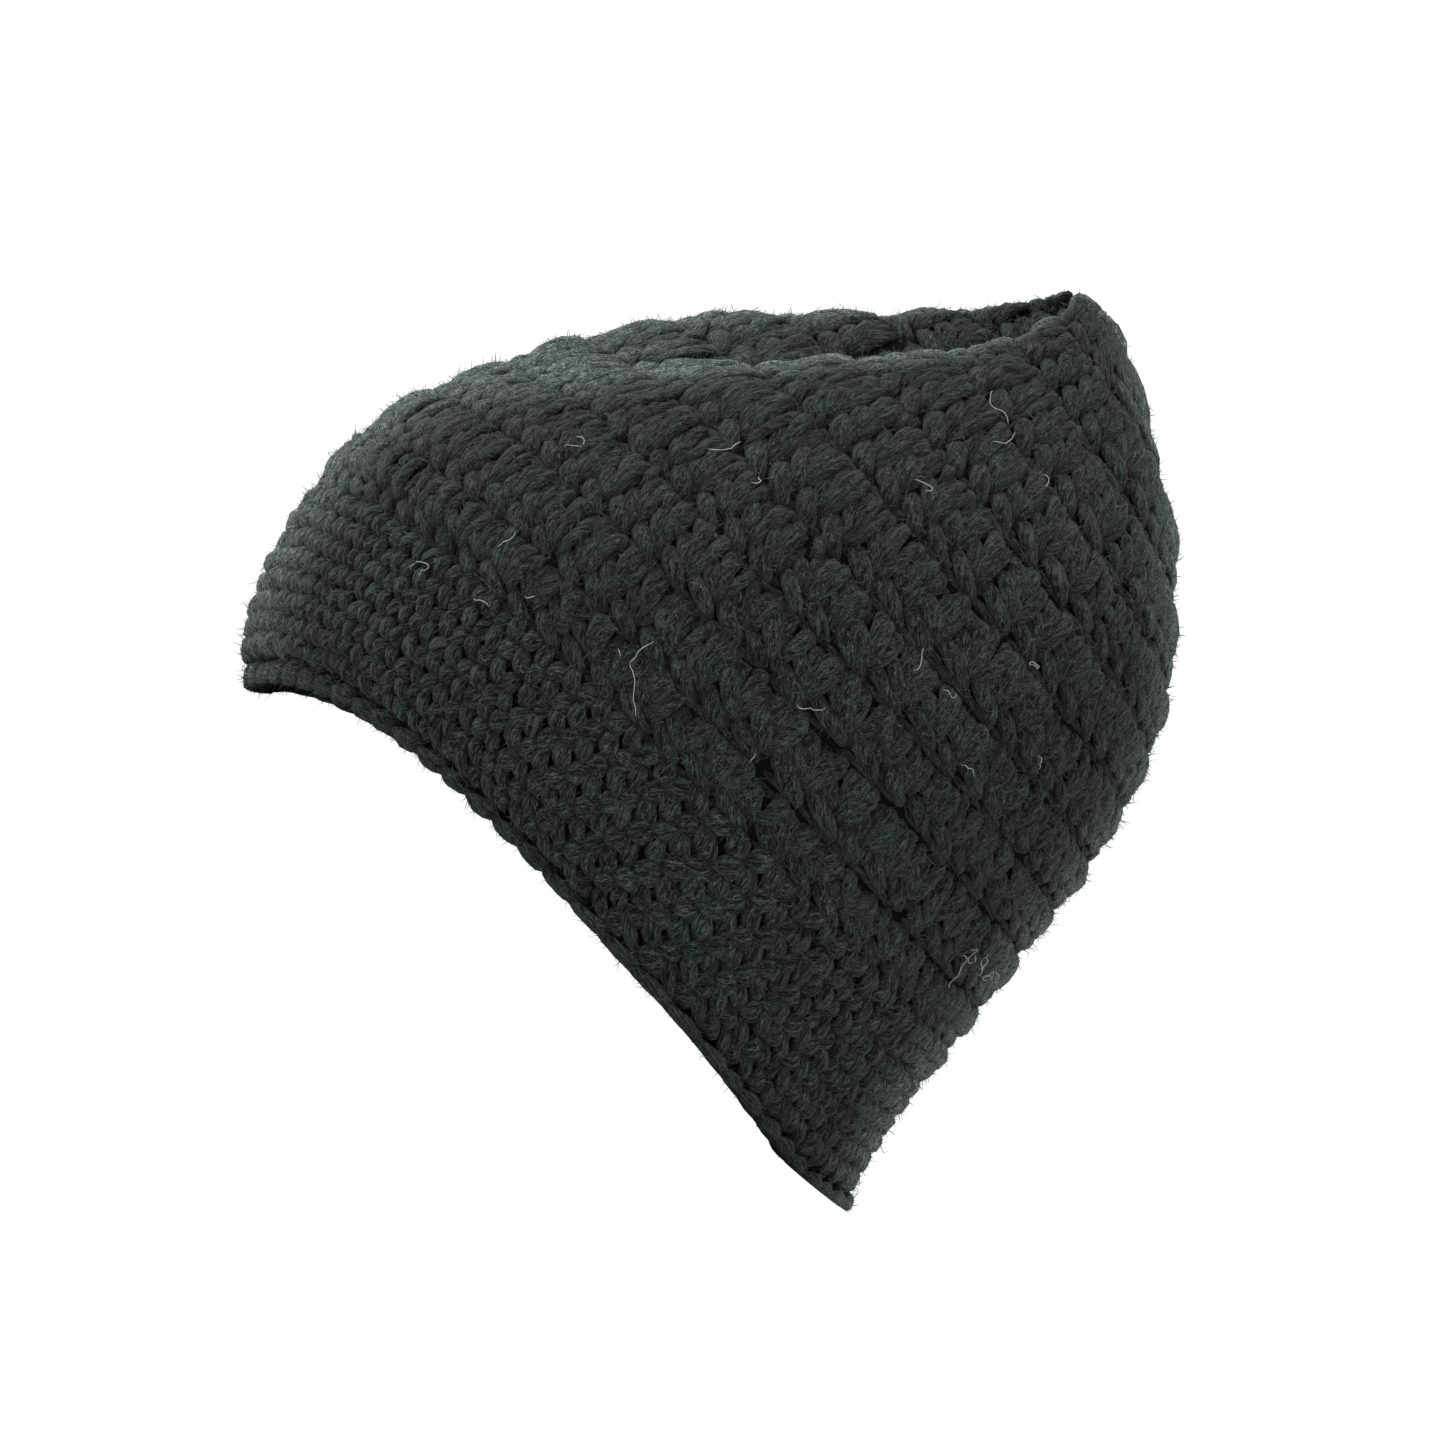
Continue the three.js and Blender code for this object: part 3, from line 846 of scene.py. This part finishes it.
def heather():
    """The mixed colour of the wool over the whole hat, from Object coordinates."""
    group, given, result = shader_group(
        "heather",
        [("Place", "NodeSocketVector", None), ("Patch size", "NodeSocketFloat", 60.0)],
        [("Green", "NodeSocketFloat"), ("Brown", "NodeSocketFloat")])
    value = given.outputs
    finer = calculate(group, "MULTIPLY", value["Patch size"], 4.5)
    broad = add_node(group, "ShaderNodeTexNoise",
                     {"Vector": value["Place"], "Scale": value["Patch size"], "Detail": 2.0})
    close = add_node(group, "ShaderNodeTexNoise", {"Vector": value["Place"], "Scale": finer, "Detail": 2.0})
    parts = add_node(group, "ShaderNodeSeparateColor", {"Color": broad.outputs["Color"]})
    close_parts = add_node(group, "ShaderNodeSeparateColor", {"Color": close.outputs["Color"]})
    for title, channel in (("Green", "Red"), ("Brown", "Green")):
        both = calculate(group, "ADD", calculate(group, "MULTIPLY", parts.outputs[channel], 0.55),
                         calculate(group, "MULTIPLY", close_parts.outputs[channel], 0.45))
        spread = mapped(group, both, (0.4, 0.64), (0.0, 1.0))
        group.links.new(spread.outputs["Result"], result.inputs[title])
    return group


fibre_group = twisted_fibres()
heather_group = heather()

# %% The yarn material
CHARCOAL = (0.0222, 0.0297, 0.0280, 1.0)
CHARCOAL_GREEN = (0.0140, 0.0340, 0.0290, 1.0)
CHARCOAL_BROWN = (0.0330, 0.0270, 0.0265, 1.0)
# Painted sheen: the paler tone that the colour is mixed towards where the hat turns away from the eye.
PAINTED_SHEEN_TONE = (0.25, 0.30, 0.286)
GREEN_SHARE = 0.8
BROWN_SHARE = 0.55
FIBRE_BAND, FIBRE_TONES = (0.39, 0.61), (0.02, 2.2)
LINE_HIGHLIGHT_TONE, BARE_TONE = 3.0, 0.3
PAINTED_SHEEN_BAND, PAINTED_SHEEN_SHARES = (0.5, 0.95), (0.0, 0.95)
# Painted shade: how much darker the yarn is painted the deeper it lies between its neighbours.
PAINTED_SHADE_BAND, PAINTED_SHADE_TONES = (-2.5, -0.3), (0.05, 1.2)
ROUGH_BAND, ROUGHNESSES = (0.3, 0.7), (1.0, 0.78)
TINT_TONE, OWN_TONE = 0.35, 0.82
LINE_RELIEF, PLY_RELIEF = 0.3, 0.35
RELIEF_HEIGHT = 1.3 * MM


def mix_colour(tree, share, first, second):
    """A colour between two others."""
    return add_node(tree, "ShaderNodeMix", {"Factor": share, "A": first, "B": second},
                    data_type="RGBA").outputs["Result"]


def new_material(name):
    """A material with its node tree and its shader."""
    material = bpy.data.materials.new(name)
    material.use_nodes = True
    return material, material.node_tree, material.node_tree.nodes["Principled BSDF"]


def yarn_material(name, bump=1.0, painted_shade_tone=1.0):
    """Fuzzy charcoal yarn for strands that carry a fibre UV map and a tint."""
    material, tree, shader = new_material(name)
    fibre_uv = add_node(tree, "ShaderNodeUVMap", uv_map="fibre")
    tint = add_node(tree, "ShaderNodeAttribute", attribute_name="tint")
    where = add_node(tree, "ShaderNodeTexCoord")
    fibres = add_node(tree, "ShaderNodeGroup", node_tree=fibre_group)
    tree.links.new(fibre_uv.outputs["UV"], fibres.inputs["UV"])
    tree.links.new(tint.outputs["Fac"], fibres.inputs["Strand"])
    wool = add_node(tree, "ShaderNodeGroup", node_tree=heather_group)
    tree.links.new(where.outputs["Object"], wool.inputs["Place"])

    green = calculate(tree, "MULTIPLY", wool.outputs["Green"], GREEN_SHARE)
    brown = calculate(tree, "MULTIPLY", wool.outputs["Brown"], BROWN_SHARE)
    dyed = mix_colour(tree, brown, mix_colour(tree, green, CHARCOAL, CHARCOAL_GREEN), CHARCOAL_BROWN)
    coarse = mapped(tree, fibres.outputs["Fibre"], FIBRE_BAND, FIBRE_TONES)
    # Fibre lines brightened in the colour: partly the fibres' own texture, partly painted highlights along
    # them.
    close = calculate(tree, "MULTIPLY_ADD", fibres.outputs["Line"], LINE_HIGHLIGHT_TONE, BARE_TONE)
    # Painted shade tone: below 1 darkens a copy of the yarn that lies in shade.
    own = calculate(tree, "MULTIPLY_ADD", tint.outputs["Fac"], TINT_TONE, OWN_TONE * painted_shade_tone)
    light_and_dark = calculate(tree, "MULTIPLY", calculate(tree, "MULTIPLY", coarse, close), own)
    # Painted sheen: at grazing view the colour is mixed towards a paler tone, standing in for loose fibres
    # catching light.
    straight = add_node(tree, "ShaderNodeAttribute", attribute_name="outward")
    grazed = add_node(tree, "ShaderNodeLayerWeight", {"Blend": 0.5, "Normal": straight.outputs["Vector"]})
    painted_grazing_sheen = mapped(tree, grazed.outputs["Facing"], PAINTED_SHEEN_BAND, PAINTED_SHEEN_SHARES)
    # Painted shade: strands deeper in the fabric are painted darker, standing in for the shade between them.
    rise = add_node(tree, "ShaderNodeAttribute", attribute_name="rise")
    shade = mapped(tree, rise.outputs["Fac"], PAINTED_SHADE_BAND, PAINTED_SHADE_TONES)
    with_painted_shade = calculate(tree, "MULTIPLY", light_and_dark, shade)
    dark = scaled(tree, dyed, with_painted_shade)
    pale = scaled(tree, PAINTED_SHEEN_TONE, calculate(tree, "MULTIPLY", close, shade))
    final = mix_colour(tree, painted_grazing_sheen, dark.outputs["Vector"], pale.outputs["Vector"])
    tree.links.new(final, shader.inputs["Base Color"])

    rough = mapped(tree, fibres.outputs["Fibre"], ROUGH_BAND, ROUGHNESSES)
    tree.links.new(rough.outputs["Result"], shader.inputs["Roughness"])
    relief = calculate(tree, "MULTIPLY_ADD", fibres.outputs["Line"], LINE_RELIEF, fibres.outputs["Fibre"])
    relief = calculate(tree, "MULTIPLY_ADD", fibres.outputs["Ply"], PLY_RELIEF, relief)
    raised = add_node(tree, "ShaderNodeBump", {"Strength": bump, "Distance": RELIEF_HEIGHT, "Height": relief})
    tree.links.new(raised.outputs["Normal"], shader.inputs["Normal"])
    shader.inputs["Specular IOR Level"].default_value = 0.18
    shader.inputs["Sheen Weight"].default_value = 0.2
    shader.inputs["Sheen Roughness"].default_value = 0.45
    shader.inputs["Sheen Tint"].default_value = (0.8, 0.86, 0.84, 1.0)
    return material


yarn = yarn_material("charcoal_yarn")
# Painted shade: the inside copy of the yarn is painted a little darker than the outside.
shaded_inner_yarn = yarn_material("charcoal_yarn_inside", bump=0.6, painted_shade_tone=0.9)
print("materials:", [item.name for item in bpy.data.materials])

# %% [markdown]
# ## Laying the outside
# The crown's ten rounds are laid in two pieces, the lower four rounds and the upper six, and the
# brim and the chain as one piece each. A few short stitches close the point.

# %% Lay the outer stitches
def lay(name, cells, library, material, seed, **changes):
    """Lay one library of strands over some cells of the chart."""
    values = {"Guide": guide, "Strands": library, "Material": material, "Girth": GIRTH,
              "Chart height": CLIMB * POLE, "Stitch shift": STITCH_SHIFT, "Strand turn": STRAND_TURN,
              "Bend": BEND, "Lumps": LUMPS, "Seed": seed}
    values.update(changes)
    mesh = chart_mesh(name + "_chart", cells, len(library.objects))
    return run_tree(name, mesh, lay_stitches, values)


lower_crown = lay("lower_crown_stitches", tall_cells(range(0, 4)), tall_library, yarn, seed=11)
upper_crown = lay("upper_crown_stitches", tall_cells(range(4, 10)), tall_library, yarn, seed=23)
brim_stitches = lay("brim_stitches", short_cells(), short_library, yarn, seed=5,
                    **{"Stitch shift": 0.25 * MM})
rim_chain = lay("rim_chain_stitches", chain_cells(), chain_library, yarn, seed=8,
                **{"Stitch shift": 0.15 * MM, "Bend": 0.35 * MM})
crown_point = lay("crown_point_stitches", closing_cells(), short_library, yarn, seed=3,
                  **{"Stitch shift": 0.1 * MM, "Bend": 0.2 * MM})

# %% [markdown]
# ## The inside
# Turned over, the same stitches show their backs: upright legs and bars that lie along each round.
# They are seen through the mouth of the hat, so they are made of fewer strands. Their yarn is painted
# a little darker than the outside yarn, as painted shade.

# %% Lay the inner stitches
crown_inside = lay("crown_inside_stitches", tall_cells(range(0, 10)), tall_inner_library, shaded_inner_yarn, seed=31)
brim_inside = lay("brim_inside_stitches", short_cells(), short_inner_library, shaded_inner_yarn, seed=37)

# %% [markdown]
# ## What lies behind the stitches
# Between the strands of real crochet there is more yarn, deep in the fabric, where hardly any light
# comes. A thin layer in the middle of the wall stands for it, coloured nearly black as painted shade,
# much darker than the yarn itself. It starts just above the chain, so that the small holes over the
# rim stay open.

# %% Build the hidden layer
CORE_COLUMNS = 132
CORE_ROWS = 40
CORE_DEPTHS = (-2.3 * MM, -3.9 * MM)
CORE_START = 2.2 * MM
# Painted shade: the hidden layer is coloured near black, much darker than the yarn itself.
DARKEST_CORE_SHADE = (0.002, 0.002, 0.002, 1)
PALEST_CORE_SHADE = (0.010, 0.012, 0.012, 1)


def core_mesh():
    """A closed double skin in the middle of the wall, open at the rim like the hat."""
    angles = np.linspace(0, 2 * np.pi, CORE_COLUMNS, endpoint=False)
    starts = np.array([level_above_rim(angle, CHAIN_HEIGHT + CORE_START) for angle in angles])
    shares = np.linspace(0, 1, CORE_ROWS)[:, None]
    levels = starts[None, :] + (CROWN_TOP - starts[None, :]) * shares
    grid = np.broadcast_to(angles, levels.shape)
    places = hat_point(levels, grid)
    straight = outward_at(levels, grid)
    points = []
    for depth in CORE_DEPTHS:
        points += (places + straight * depth).reshape(-1, 3).tolist()
    skin = CORE_COLUMNS * CORE_ROWS
    faces = []
    for row in range(CORE_ROWS - 1):
        for column in range(CORE_COLUMNS):
            onward = (column + 1) % CORE_COLUMNS
            low, high = row * CORE_COLUMNS, (row + 1) * CORE_COLUMNS
            faces.append((low + column, low + onward, high + onward, high + column))
            faces.append((skin + low + onward, skin + low + column,
                          skin + high + column, skin + high + onward))
    top = (CORE_ROWS - 1) * CORE_COLUMNS
    points += [(pole + [0, 0, depth]).tolist() for depth in CORE_DEPTHS]
    for column in range(CORE_COLUMNS):
        onward = (column + 1) % CORE_COLUMNS
        faces.append((column, skin + column, skin + onward, onward))
        faces.append((top + column, top + onward, 2 * skin))
        faces.append((skin + top + onward, skin + top + column, 2 * skin + 1))
    mesh = bpy.data.meshes.new("yarn_core")
    mesh.from_pydata(points, [], faces)
    mesh.polygons.foreach_set("use_smooth", [True] * len(faces))
    return mesh


core_material, core_tree, core_shader = new_material("yarn_in_shade")
core_where = add_node(core_tree, "ShaderNodeTexCoord")
core_noise = add_node(core_tree, "ShaderNodeTexNoise",
                      {"Vector": core_where.outputs["Object"], "Scale": 900.0, "Detail": 3.0})
core_shade_colour = mix_colour(core_tree, core_noise.outputs["Fac"], DARKEST_CORE_SHADE, PALEST_CORE_SHADE)
core_tree.links.new(core_shade_colour, core_shader.inputs["Base Color"])
core_bump = add_node(core_tree, "ShaderNodeBump",
                     {"Strength": 0.8, "Distance": 0.8 * MM, "Height": core_noise.outputs["Fac"]})
core_tree.links.new(core_bump.outputs["Normal"], core_shader.inputs["Normal"])
core_shader.inputs["Roughness"].default_value = 1.0
core_shader.inputs["Specular IOR Level"].default_value = 0.05

yarn_core = add_object("yarn_core", core_mesh())
yarn_core.data.materials.append(core_material)
print("hidden layer faces:", len(yarn_core.data.polygons))

# %% [markdown]
# ## Fuzz
# Wool is never smooth: thousands of fine ends stand out of it, which soften the outline and catch
# the light. Hair particles would do, but they aren't part of the mesh, so small tapered shapes are
# scattered by nodes over the faces of the strands that look outwards, and made real. Most are short
# ends of four faces, and some are longer and bent.

# %% Draw a few hairs
HAIR_BENDS = [(0.9, 0.3, 0.6), (1.2, -0.7, 0.3), (0.7, 0.9, -0.8), (1.5, 0.2, -0.5)]
HAIR_RADIUS = 0.1
END_LENGTHS = [1.4, 2.1, 2.9]
SHORT_DENSITY = 200000.0
LONG_DENSITY = 35000.0
LEAST_OUTWARD = 0.3


def hair_object(name, bends):
    """One bent hair that starts at the origin, about 3 mm long and closed to a point."""
    first, second, third = bends
    line = np.array([(0, 0, 0), (first, 0.5 * second, 1.1), (first + third, 1.4 * second, 1.9)]) * MM
    radii = np.array([1.0, 0.9, 0.25]) * HAIR_RADIUS * MM
    rings, lengths = sweep(line, radii, radii, 3, side_hint=np.array([0.2, 1.0, 0.1]))
    return bpy.data.objects.new(name, tube_mesh(name, rings, lengths))


def end_object(name, length):
    """One straight fibre end: a long three-sided spike."""
    corners = [(HAIR_RADIUS * math.cos(turn), HAIR_RADIUS * math.sin(turn), 0)
               for turn in (0, 2 * math.pi / 3, 4 * math.pi / 3)]
    mesh = bpy.data.meshes.new(name)
    points = np.array([*corners, (0.3 * length, 0, length)]) * MM
    mesh.from_pydata(points.tolist(), [], [(2, 1, 0), (0, 1, 3), (1, 2, 3), (2, 0, 3)])
    return bpy.data.objects.new(name, mesh)


def small_library(name, makers):
    """A collection of small shapes to scatter."""
    library = bpy.data.collections.new(name)
    bpy.context.scene.collection.children.link(library)
    for number, (maker, measure) in enumerate(makers):
        library.objects.link(maker(f"{name}_{number}", measure))
    return library


hair_library = small_library("hairs", [(hair_object, bends) for bends in HAIR_BENDS])
end_library = small_library("fibre_ends", [(end_object, length) for length in END_LENGTHS])

# %% Scatter the fuzz
def fuzz_tree():
    """The node tree that scatters hairs over a surface."""
    tree, given, result = new_tree("scatter_fuzz", [
        ("Hairs", "NodeSocketCollection", None),
        ("Material", "NodeSocketMaterial", None),
        ("Per square metre", "NodeSocketFloat", SHORT_DENSITY),
        ("Lean", "NodeSocketFloat", 1.45),
        ("Seed", "NodeSocketInt", 1),
    ])
    value = given.outputs
    straight = named(tree, "outward")
    turned_out = combine(tree, "DOT_PRODUCT", add_node(tree, "GeometryNodeInputNormal"), straight)
    outside = calculate(tree, "GREATER_THAN", turned_out.outputs["Value"], LEAST_OUTWARD)
    spread = add_node(tree, "GeometryNodeDistributePointsOnFaces",
                      {"Mesh": value["Geometry"], "Selection": outside,
                       "Density": value["Per square metre"], "Seed": value["Seed"]})
    between = combine(tree, "ADD", spread.outputs["Normal"], straight)
    facing = add_node(tree, "FunctionNodeAlignRotationToVector", {"Vector": between}, axis="Z")
    way = random_vector(tree, (-1, -1, -3.14), (1, 1, 3.14), value["Seed"])
    leaning = add_node(tree, "ShaderNodeCombineXYZ", {"X": value["Lean"], "Y": value["Lean"], "Z": 1.0})
    turn = add_node(tree, "FunctionNodeEulerToRotation", {0: combine(tree, "MULTIPLY", way, leaning)})
    tilt = add_node(tree, "FunctionNodeRotateRotation", {"Rotation": facing, "Rotate By": turn},
                    rotation_space="LOCAL")
    long = add_node(tree, "FunctionNodeRandomValue", {"Min": 0.6, "Max": 1.2, "Seed": value["Seed"]},
                    data_type="FLOAT")
    library = add_node(tree, "GeometryNodeCollectionInfo",
                       {"Collection": value["Hairs"], "Separate Children": True, "Reset Children": True})
    stood = add_node(tree, "GeometryNodeInstanceOnPoints",
                     {"Points": spread.outputs["Points"], "Instance": library, "Pick Instance": True,
                      "Rotation": tilt, "Scale": long})
    real = add_node(tree, "GeometryNodeRealizeInstances", {"Geometry": stood})
    place = above_floor(tree, add_node(tree, "GeometryNodeInputPosition"))
    lifted = add_node(tree, "GeometryNodeSetPosition", {"Geometry": real, "Position": place})
    painted = add_node(tree, "GeometryNodeSetMaterial", {"Geometry": lifted, "Material": value["Material"]})
    tree.links.new(painted.outputs["Geometry"], result.inputs["Geometry"])
    return tree


def plain_fibre_material(name, colour, second):
    """A matt fibre whose colour wanders between two shades over the hat."""
    material, tree, shader = new_material(name)
    where = add_node(tree, "ShaderNodeTexCoord")
    noise = add_node(tree, "ShaderNodeTexNoise", {"Vector": where.outputs["Object"], "Scale": 400.0})
    tree.links.new(mix_colour(tree, noise.outputs["Fac"], colour, second), shader.inputs["Base Color"])
    shader.inputs["Roughness"].default_value = 0.85
    shader.inputs["Specular IOR Level"].default_value = 0.2
    shader.inputs["Sheen Weight"].default_value = 0.2
    return material


def scatter(name, piece, library, density, lean, seed):
    """Scatter one library of hairs over the outside of one piece."""
    fuzz = run_tree(name, piece.data, scatter_fuzz,
                    {"Hairs": library, "Material": fuzz_material, "Per square metre": density,
                     "Lean": lean, "Seed": seed})
    for spare in ("tint", "outward"):
        if spare in fuzz.data.attributes:
            fuzz.data.attributes.remove(fuzz.data.attributes[spare])
    return fuzz


fuzz_material = plain_fibre_material("wool_fuzz", (0.02, 0.026, 0.024, 1), (0.16, 0.19, 0.18, 1))
scatter_fuzz = fuzz_tree()
fuzz_pieces = []
for seed, piece in enumerate((lower_crown, upper_crown, brim_stitches)):
    for kind, library, density, lean, shift in (("short", end_library, SHORT_DENSITY, 1.45, 0),
                                                ("long", hair_library, LONG_DENSITY, 1.4, 9)):
        name = f"{kind}_fuzz_{piece.name}"
        fuzz_pieces.append(scatter(name, piece, library, density, lean, seed=seed + shift))
fuzz_pieces.append(scatter("short_fuzz_rim", rim_chain, end_library, 2 * SHORT_DENSITY, 1.2, seed=7))

# %% [markdown]
# ## Stray pale fibres
# A few pale curly fibres of lint have caught in the wool, as they do on every dark hat, with a small
# tangle low at the back. Each is a thin tube along a wandering line just above the stitches. They
# are few and plain to see, so each has its own row: where it starts, where it heads, how long it
# is and how much it curls.

# %% Lay the stray fibres
STRAY_RADIUS = 0.085 * MM
STRAY_STEP = 0.9 * MM
# Columns: angle in degrees, level, heading in degrees, length in mm, curl.
STRAY_FIBRES = [
    (69.0, 3.75, 95, 8, 0.5), (69.0, 3.75, -35, 13, 0.5), (43.8, 3.68, 60, 6, 0.5),
    (54.2, 6.85, 20, 5, 1.6), (87.2, 4.14, -70, 4, 0.6), (66.6, 3.80, -30, 3, 0.4),
    (66.0, 8.42, 50, 8, 1.1), (98.5, 7.95, 30, 7, 1.8), (90.0, 6.65, 75, 8, 0.7),
    (93.8, 6.78, 35, 6, 1.3), (33.5, 5.60, 5, 9, 1.5), (45.6, 6.75, 35, 9, 0.7),
    (47.0, 10.10, -75, 12, 0.5), (35.0, 2.62, 20, 11, 1.7), (45.6, 2.82, 10, 5, 0.6),
    (86.0, 5.00, -15, 8, 0.9), (104.0, 6.20, 40, 6, 1.2), (52.0, 3.35, 15, 4, 1.0),
    (60.0, 9.60, 60, 9, 0.6), (72.0, 9.90, 40, 7, 1.1), (112.0, 7.20, 10, 5, 1.4),
    (130.5, 4.30, 10, 13, 1.2), (133.0, 4.42, -35, 11, 1.7), (138.0, 4.25, 60, 9, 1.5),
    (142.0, 4.45, 170, 12, 1.3), (136.0, 4.50, -10, 10, 1.9), (146.0, 4.35, 120, 9, 1.6),
    (200.0, 6.10, 30, 9, 1.2), (268.0, 4.60, -20, 7, 1.0), (310.0, 5.40, 50, 8, 1.3),
    (240.0, 8.00, 15, 6, 0.9),
]


def stray_line(angle, level, heading, length, curl, draws):
    """Points of one fibre that wanders over the hat from a starting place."""
    turn, way = math.radians(angle), math.radians(heading)
    line = []
    for step in range(max(3, round(length * MM / STRAY_STEP))):
        place = hat_point(level, turn)
        lift = (0.9 + 0.5 * math.sin(0.9 * step)) * MM
        line.append(place + outward_at(np.array(level), np.array(turn)) * lift)
        onward = np.linalg.norm(hat_point(level, turn + TURN_STEP) - place) / TURN_STEP
        upward = np.linalg.norm(hat_point(level + TURN_STEP, turn) - place) / TURN_STEP
        turn += STRAY_STEP * math.cos(way) / onward
        level += STRAY_STEP * math.sin(way) / upward
        way += curl * draws.uniform(-0.9, 0.9) + 0.12 * curl
    return np.array(line)


def stray_fibres():
    """All the stray fibres as one mesh."""
    draws = np.random.default_rng(12)
    points, faces = [], []
    for angle, level, heading, length, curl in STRAY_FIBRES:
        line = stray_line(angle, level, heading, length, curl, draws)
        radii = np.full(len(line), STRAY_RADIUS)
        radii[[0, -1]] = 0.4 * STRAY_RADIUS
        rings, lengths = sweep(line, radii, radii, 4, side_hint=np.array([0.3, 0.2, 1.0]))
        tube = tube_mesh("stray", rings, lengths)
        start = len(points)
        points += [tuple(vertex.co) for vertex in tube.vertices]
        faces += [tuple(start + index for index in face.vertices) for face in tube.polygons]
        bpy.data.meshes.remove(tube)
    mesh = bpy.data.meshes.new("stray_fibres")
    mesh.from_pydata(points, [], faces)
    mesh.polygons.foreach_set("use_smooth", [True] * len(faces))
    return mesh


strays = add_object("stray_fibres", stray_fibres())
strays.data.materials.append(plain_fibre_material("pale_lint", (0.55, 0.58, 0.56, 1), (0.75, 0.76, 0.72, 1)))
print("stray fibres:", len(STRAY_FIBRES), "faces:", len(strays.data.polygons))

# %% [markdown]
# ## Setting the pieces on the hat
# Each piece is listed with the measured part that it stands for, which is hidden, and is attached to
# the hat's body. The helpers have done their work and go.

# %% Tie the pieces to the hat
outer_pieces = {
    "crown": [lower_crown, upper_crown, crown_point, crown_inside],
    "brim": [brim_stitches, brim_inside],
    "edge_chain": [rim_chain],
}
for node, pieces in outer_pieces.items():
    for piece in pieces:
        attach(piece, "root")
        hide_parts(node)
for piece in (yarn_core, strays, *fuzz_pieces):
    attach(piece, "root")

stitch_libraries = [tall_library, short_library, chain_library, tall_inner_library, short_inner_library]
for library in [*stitch_libraries, hair_library, end_library]:
    for item in list(library.objects):
        bpy.data.objects.remove(item)
    bpy.data.collections.remove(library)
bpy.data.objects.remove(guide)

# %% [markdown]
# ## The studio
# The hat is dark and the picture nearly white, so the floor is a pale sheet in strong, soft light
# that comes from all round, with one large lamp from above the front. The floor is seen from above
# only, so that the hat can also be looked at from below.

# %% Floor and light
FLOOR_RADIUS = 6.0
FLOOR_SIDES = 96
FLOOR_DROP = 0.3 * MM
LAMP_WAY = (-0.08, -0.68, 0.73)
LAMP_DISTANCE = 1.5
LAMP_SIZE = 0.9
LAMP_POWER = 12

floor_mesh = bpy.data.meshes.new("floor")
floor_angles = [2 * math.pi * side / FLOOR_SIDES for side in range(FLOOR_SIDES)]
floor_points = [(FLOOR_RADIUS * math.cos(a), FLOOR_RADIUS * math.sin(a), -FLOOR_DROP) for a in floor_angles]
floor_mesh.from_pydata(floor_points, [], [tuple(range(FLOOR_SIDES))])
floor = add_object("floor", floor_mesh)
floor_material, floor_tree, floor_shader = new_material("pale_floor")
floor_tree.nodes.remove(floor_shader)
floor_paper = add_node(floor_tree, "ShaderNodeBsdfDiffuse", {"Color": (0.75, 0.75, 0.73, 1)})
floor_sheet = add_node(floor_tree, "ShaderNodeBsdfDiffuse", {"Color": (0.02, 0.02, 0.02, 1)})
floor_glow = add_node(floor_tree, "ShaderNodeEmission", {"Color": (1, 1, 1, 1), "Strength": 1.0})
floor_seen = add_node(floor_tree, "ShaderNodeAddShader", {0: floor_sheet, 1: floor_glow})
floor_ray = add_node(floor_tree, "ShaderNodeLightPath")
floor_shown = add_node(floor_tree, "ShaderNodeMixShader",
                       {0: floor_ray.outputs["Is Camera Ray"], 1: floor_paper, 2: floor_seen})
see_through = add_node(floor_tree, "ShaderNodeBsdfTransparent")
side_seen = add_node(floor_tree, "ShaderNodeNewGeometry")
floor_mix = add_node(floor_tree, "ShaderNodeMixShader",
                     {0: side_seen.outputs["Backfacing"], 1: floor_shown, 2: see_through})
floor_tree.links.new(floor_mix.outputs["Shader"], floor_tree.nodes["Material Output"].inputs["Surface"])
floor_mesh.materials.append(floor_material)

world = bpy.data.worlds.new("studio")
bpy.context.scene.world = world
world.use_nodes = True
sky = world.node_tree
sky.nodes.clear()
ray = add_node(sky, "ShaderNodeLightPath")
glow = add_node(sky, "ShaderNodeBackground", {"Color": (0.97, 1, 0.99, 1), "Strength": 0.62})
seen = add_node(sky, "ShaderNodeBackground", {"Color": (1, 1, 1, 1), "Strength": 1.05})
sky_mix = add_node(sky, "ShaderNodeMixShader", {0: ray.outputs["Is Camera Ray"], 1: glow, 2: seen})
add_node(sky, "ShaderNodeOutputWorld", {"Surface": sky_mix})

lamp_light = bpy.data.lights.new("key_lamp", "AREA")
lamp_light.shape = "SQUARE"
lamp_light.size = LAMP_SIZE
lamp_light.energy = LAMP_POWER
lamp = add_object("key_lamp", lamp_light)
lamp_way = np.array(LAMP_WAY) / np.linalg.norm(LAMP_WAY)
lamp.location = AIM + lamp_way * LAMP_DISTANCE
lamp.rotation_mode = "QUATERNION"
lamp.rotation_quaternion = Vector(lamp_way).to_track_quat("Z", "Y")
bpy.context.scene.view_settings.view_transform = "Standard"
print("lamps:", [item.name for item in bpy.data.lights])

# %% [markdown]
# ## The measured size and finishing
# The hat in yarn may be a little fuller than the measured hat, but no more. The measured box is
# printed.

# %% Write the sizes and finish
print("measured, mm:", [round(value / MM, 1) for value in (*cad_low, *cad_high)])
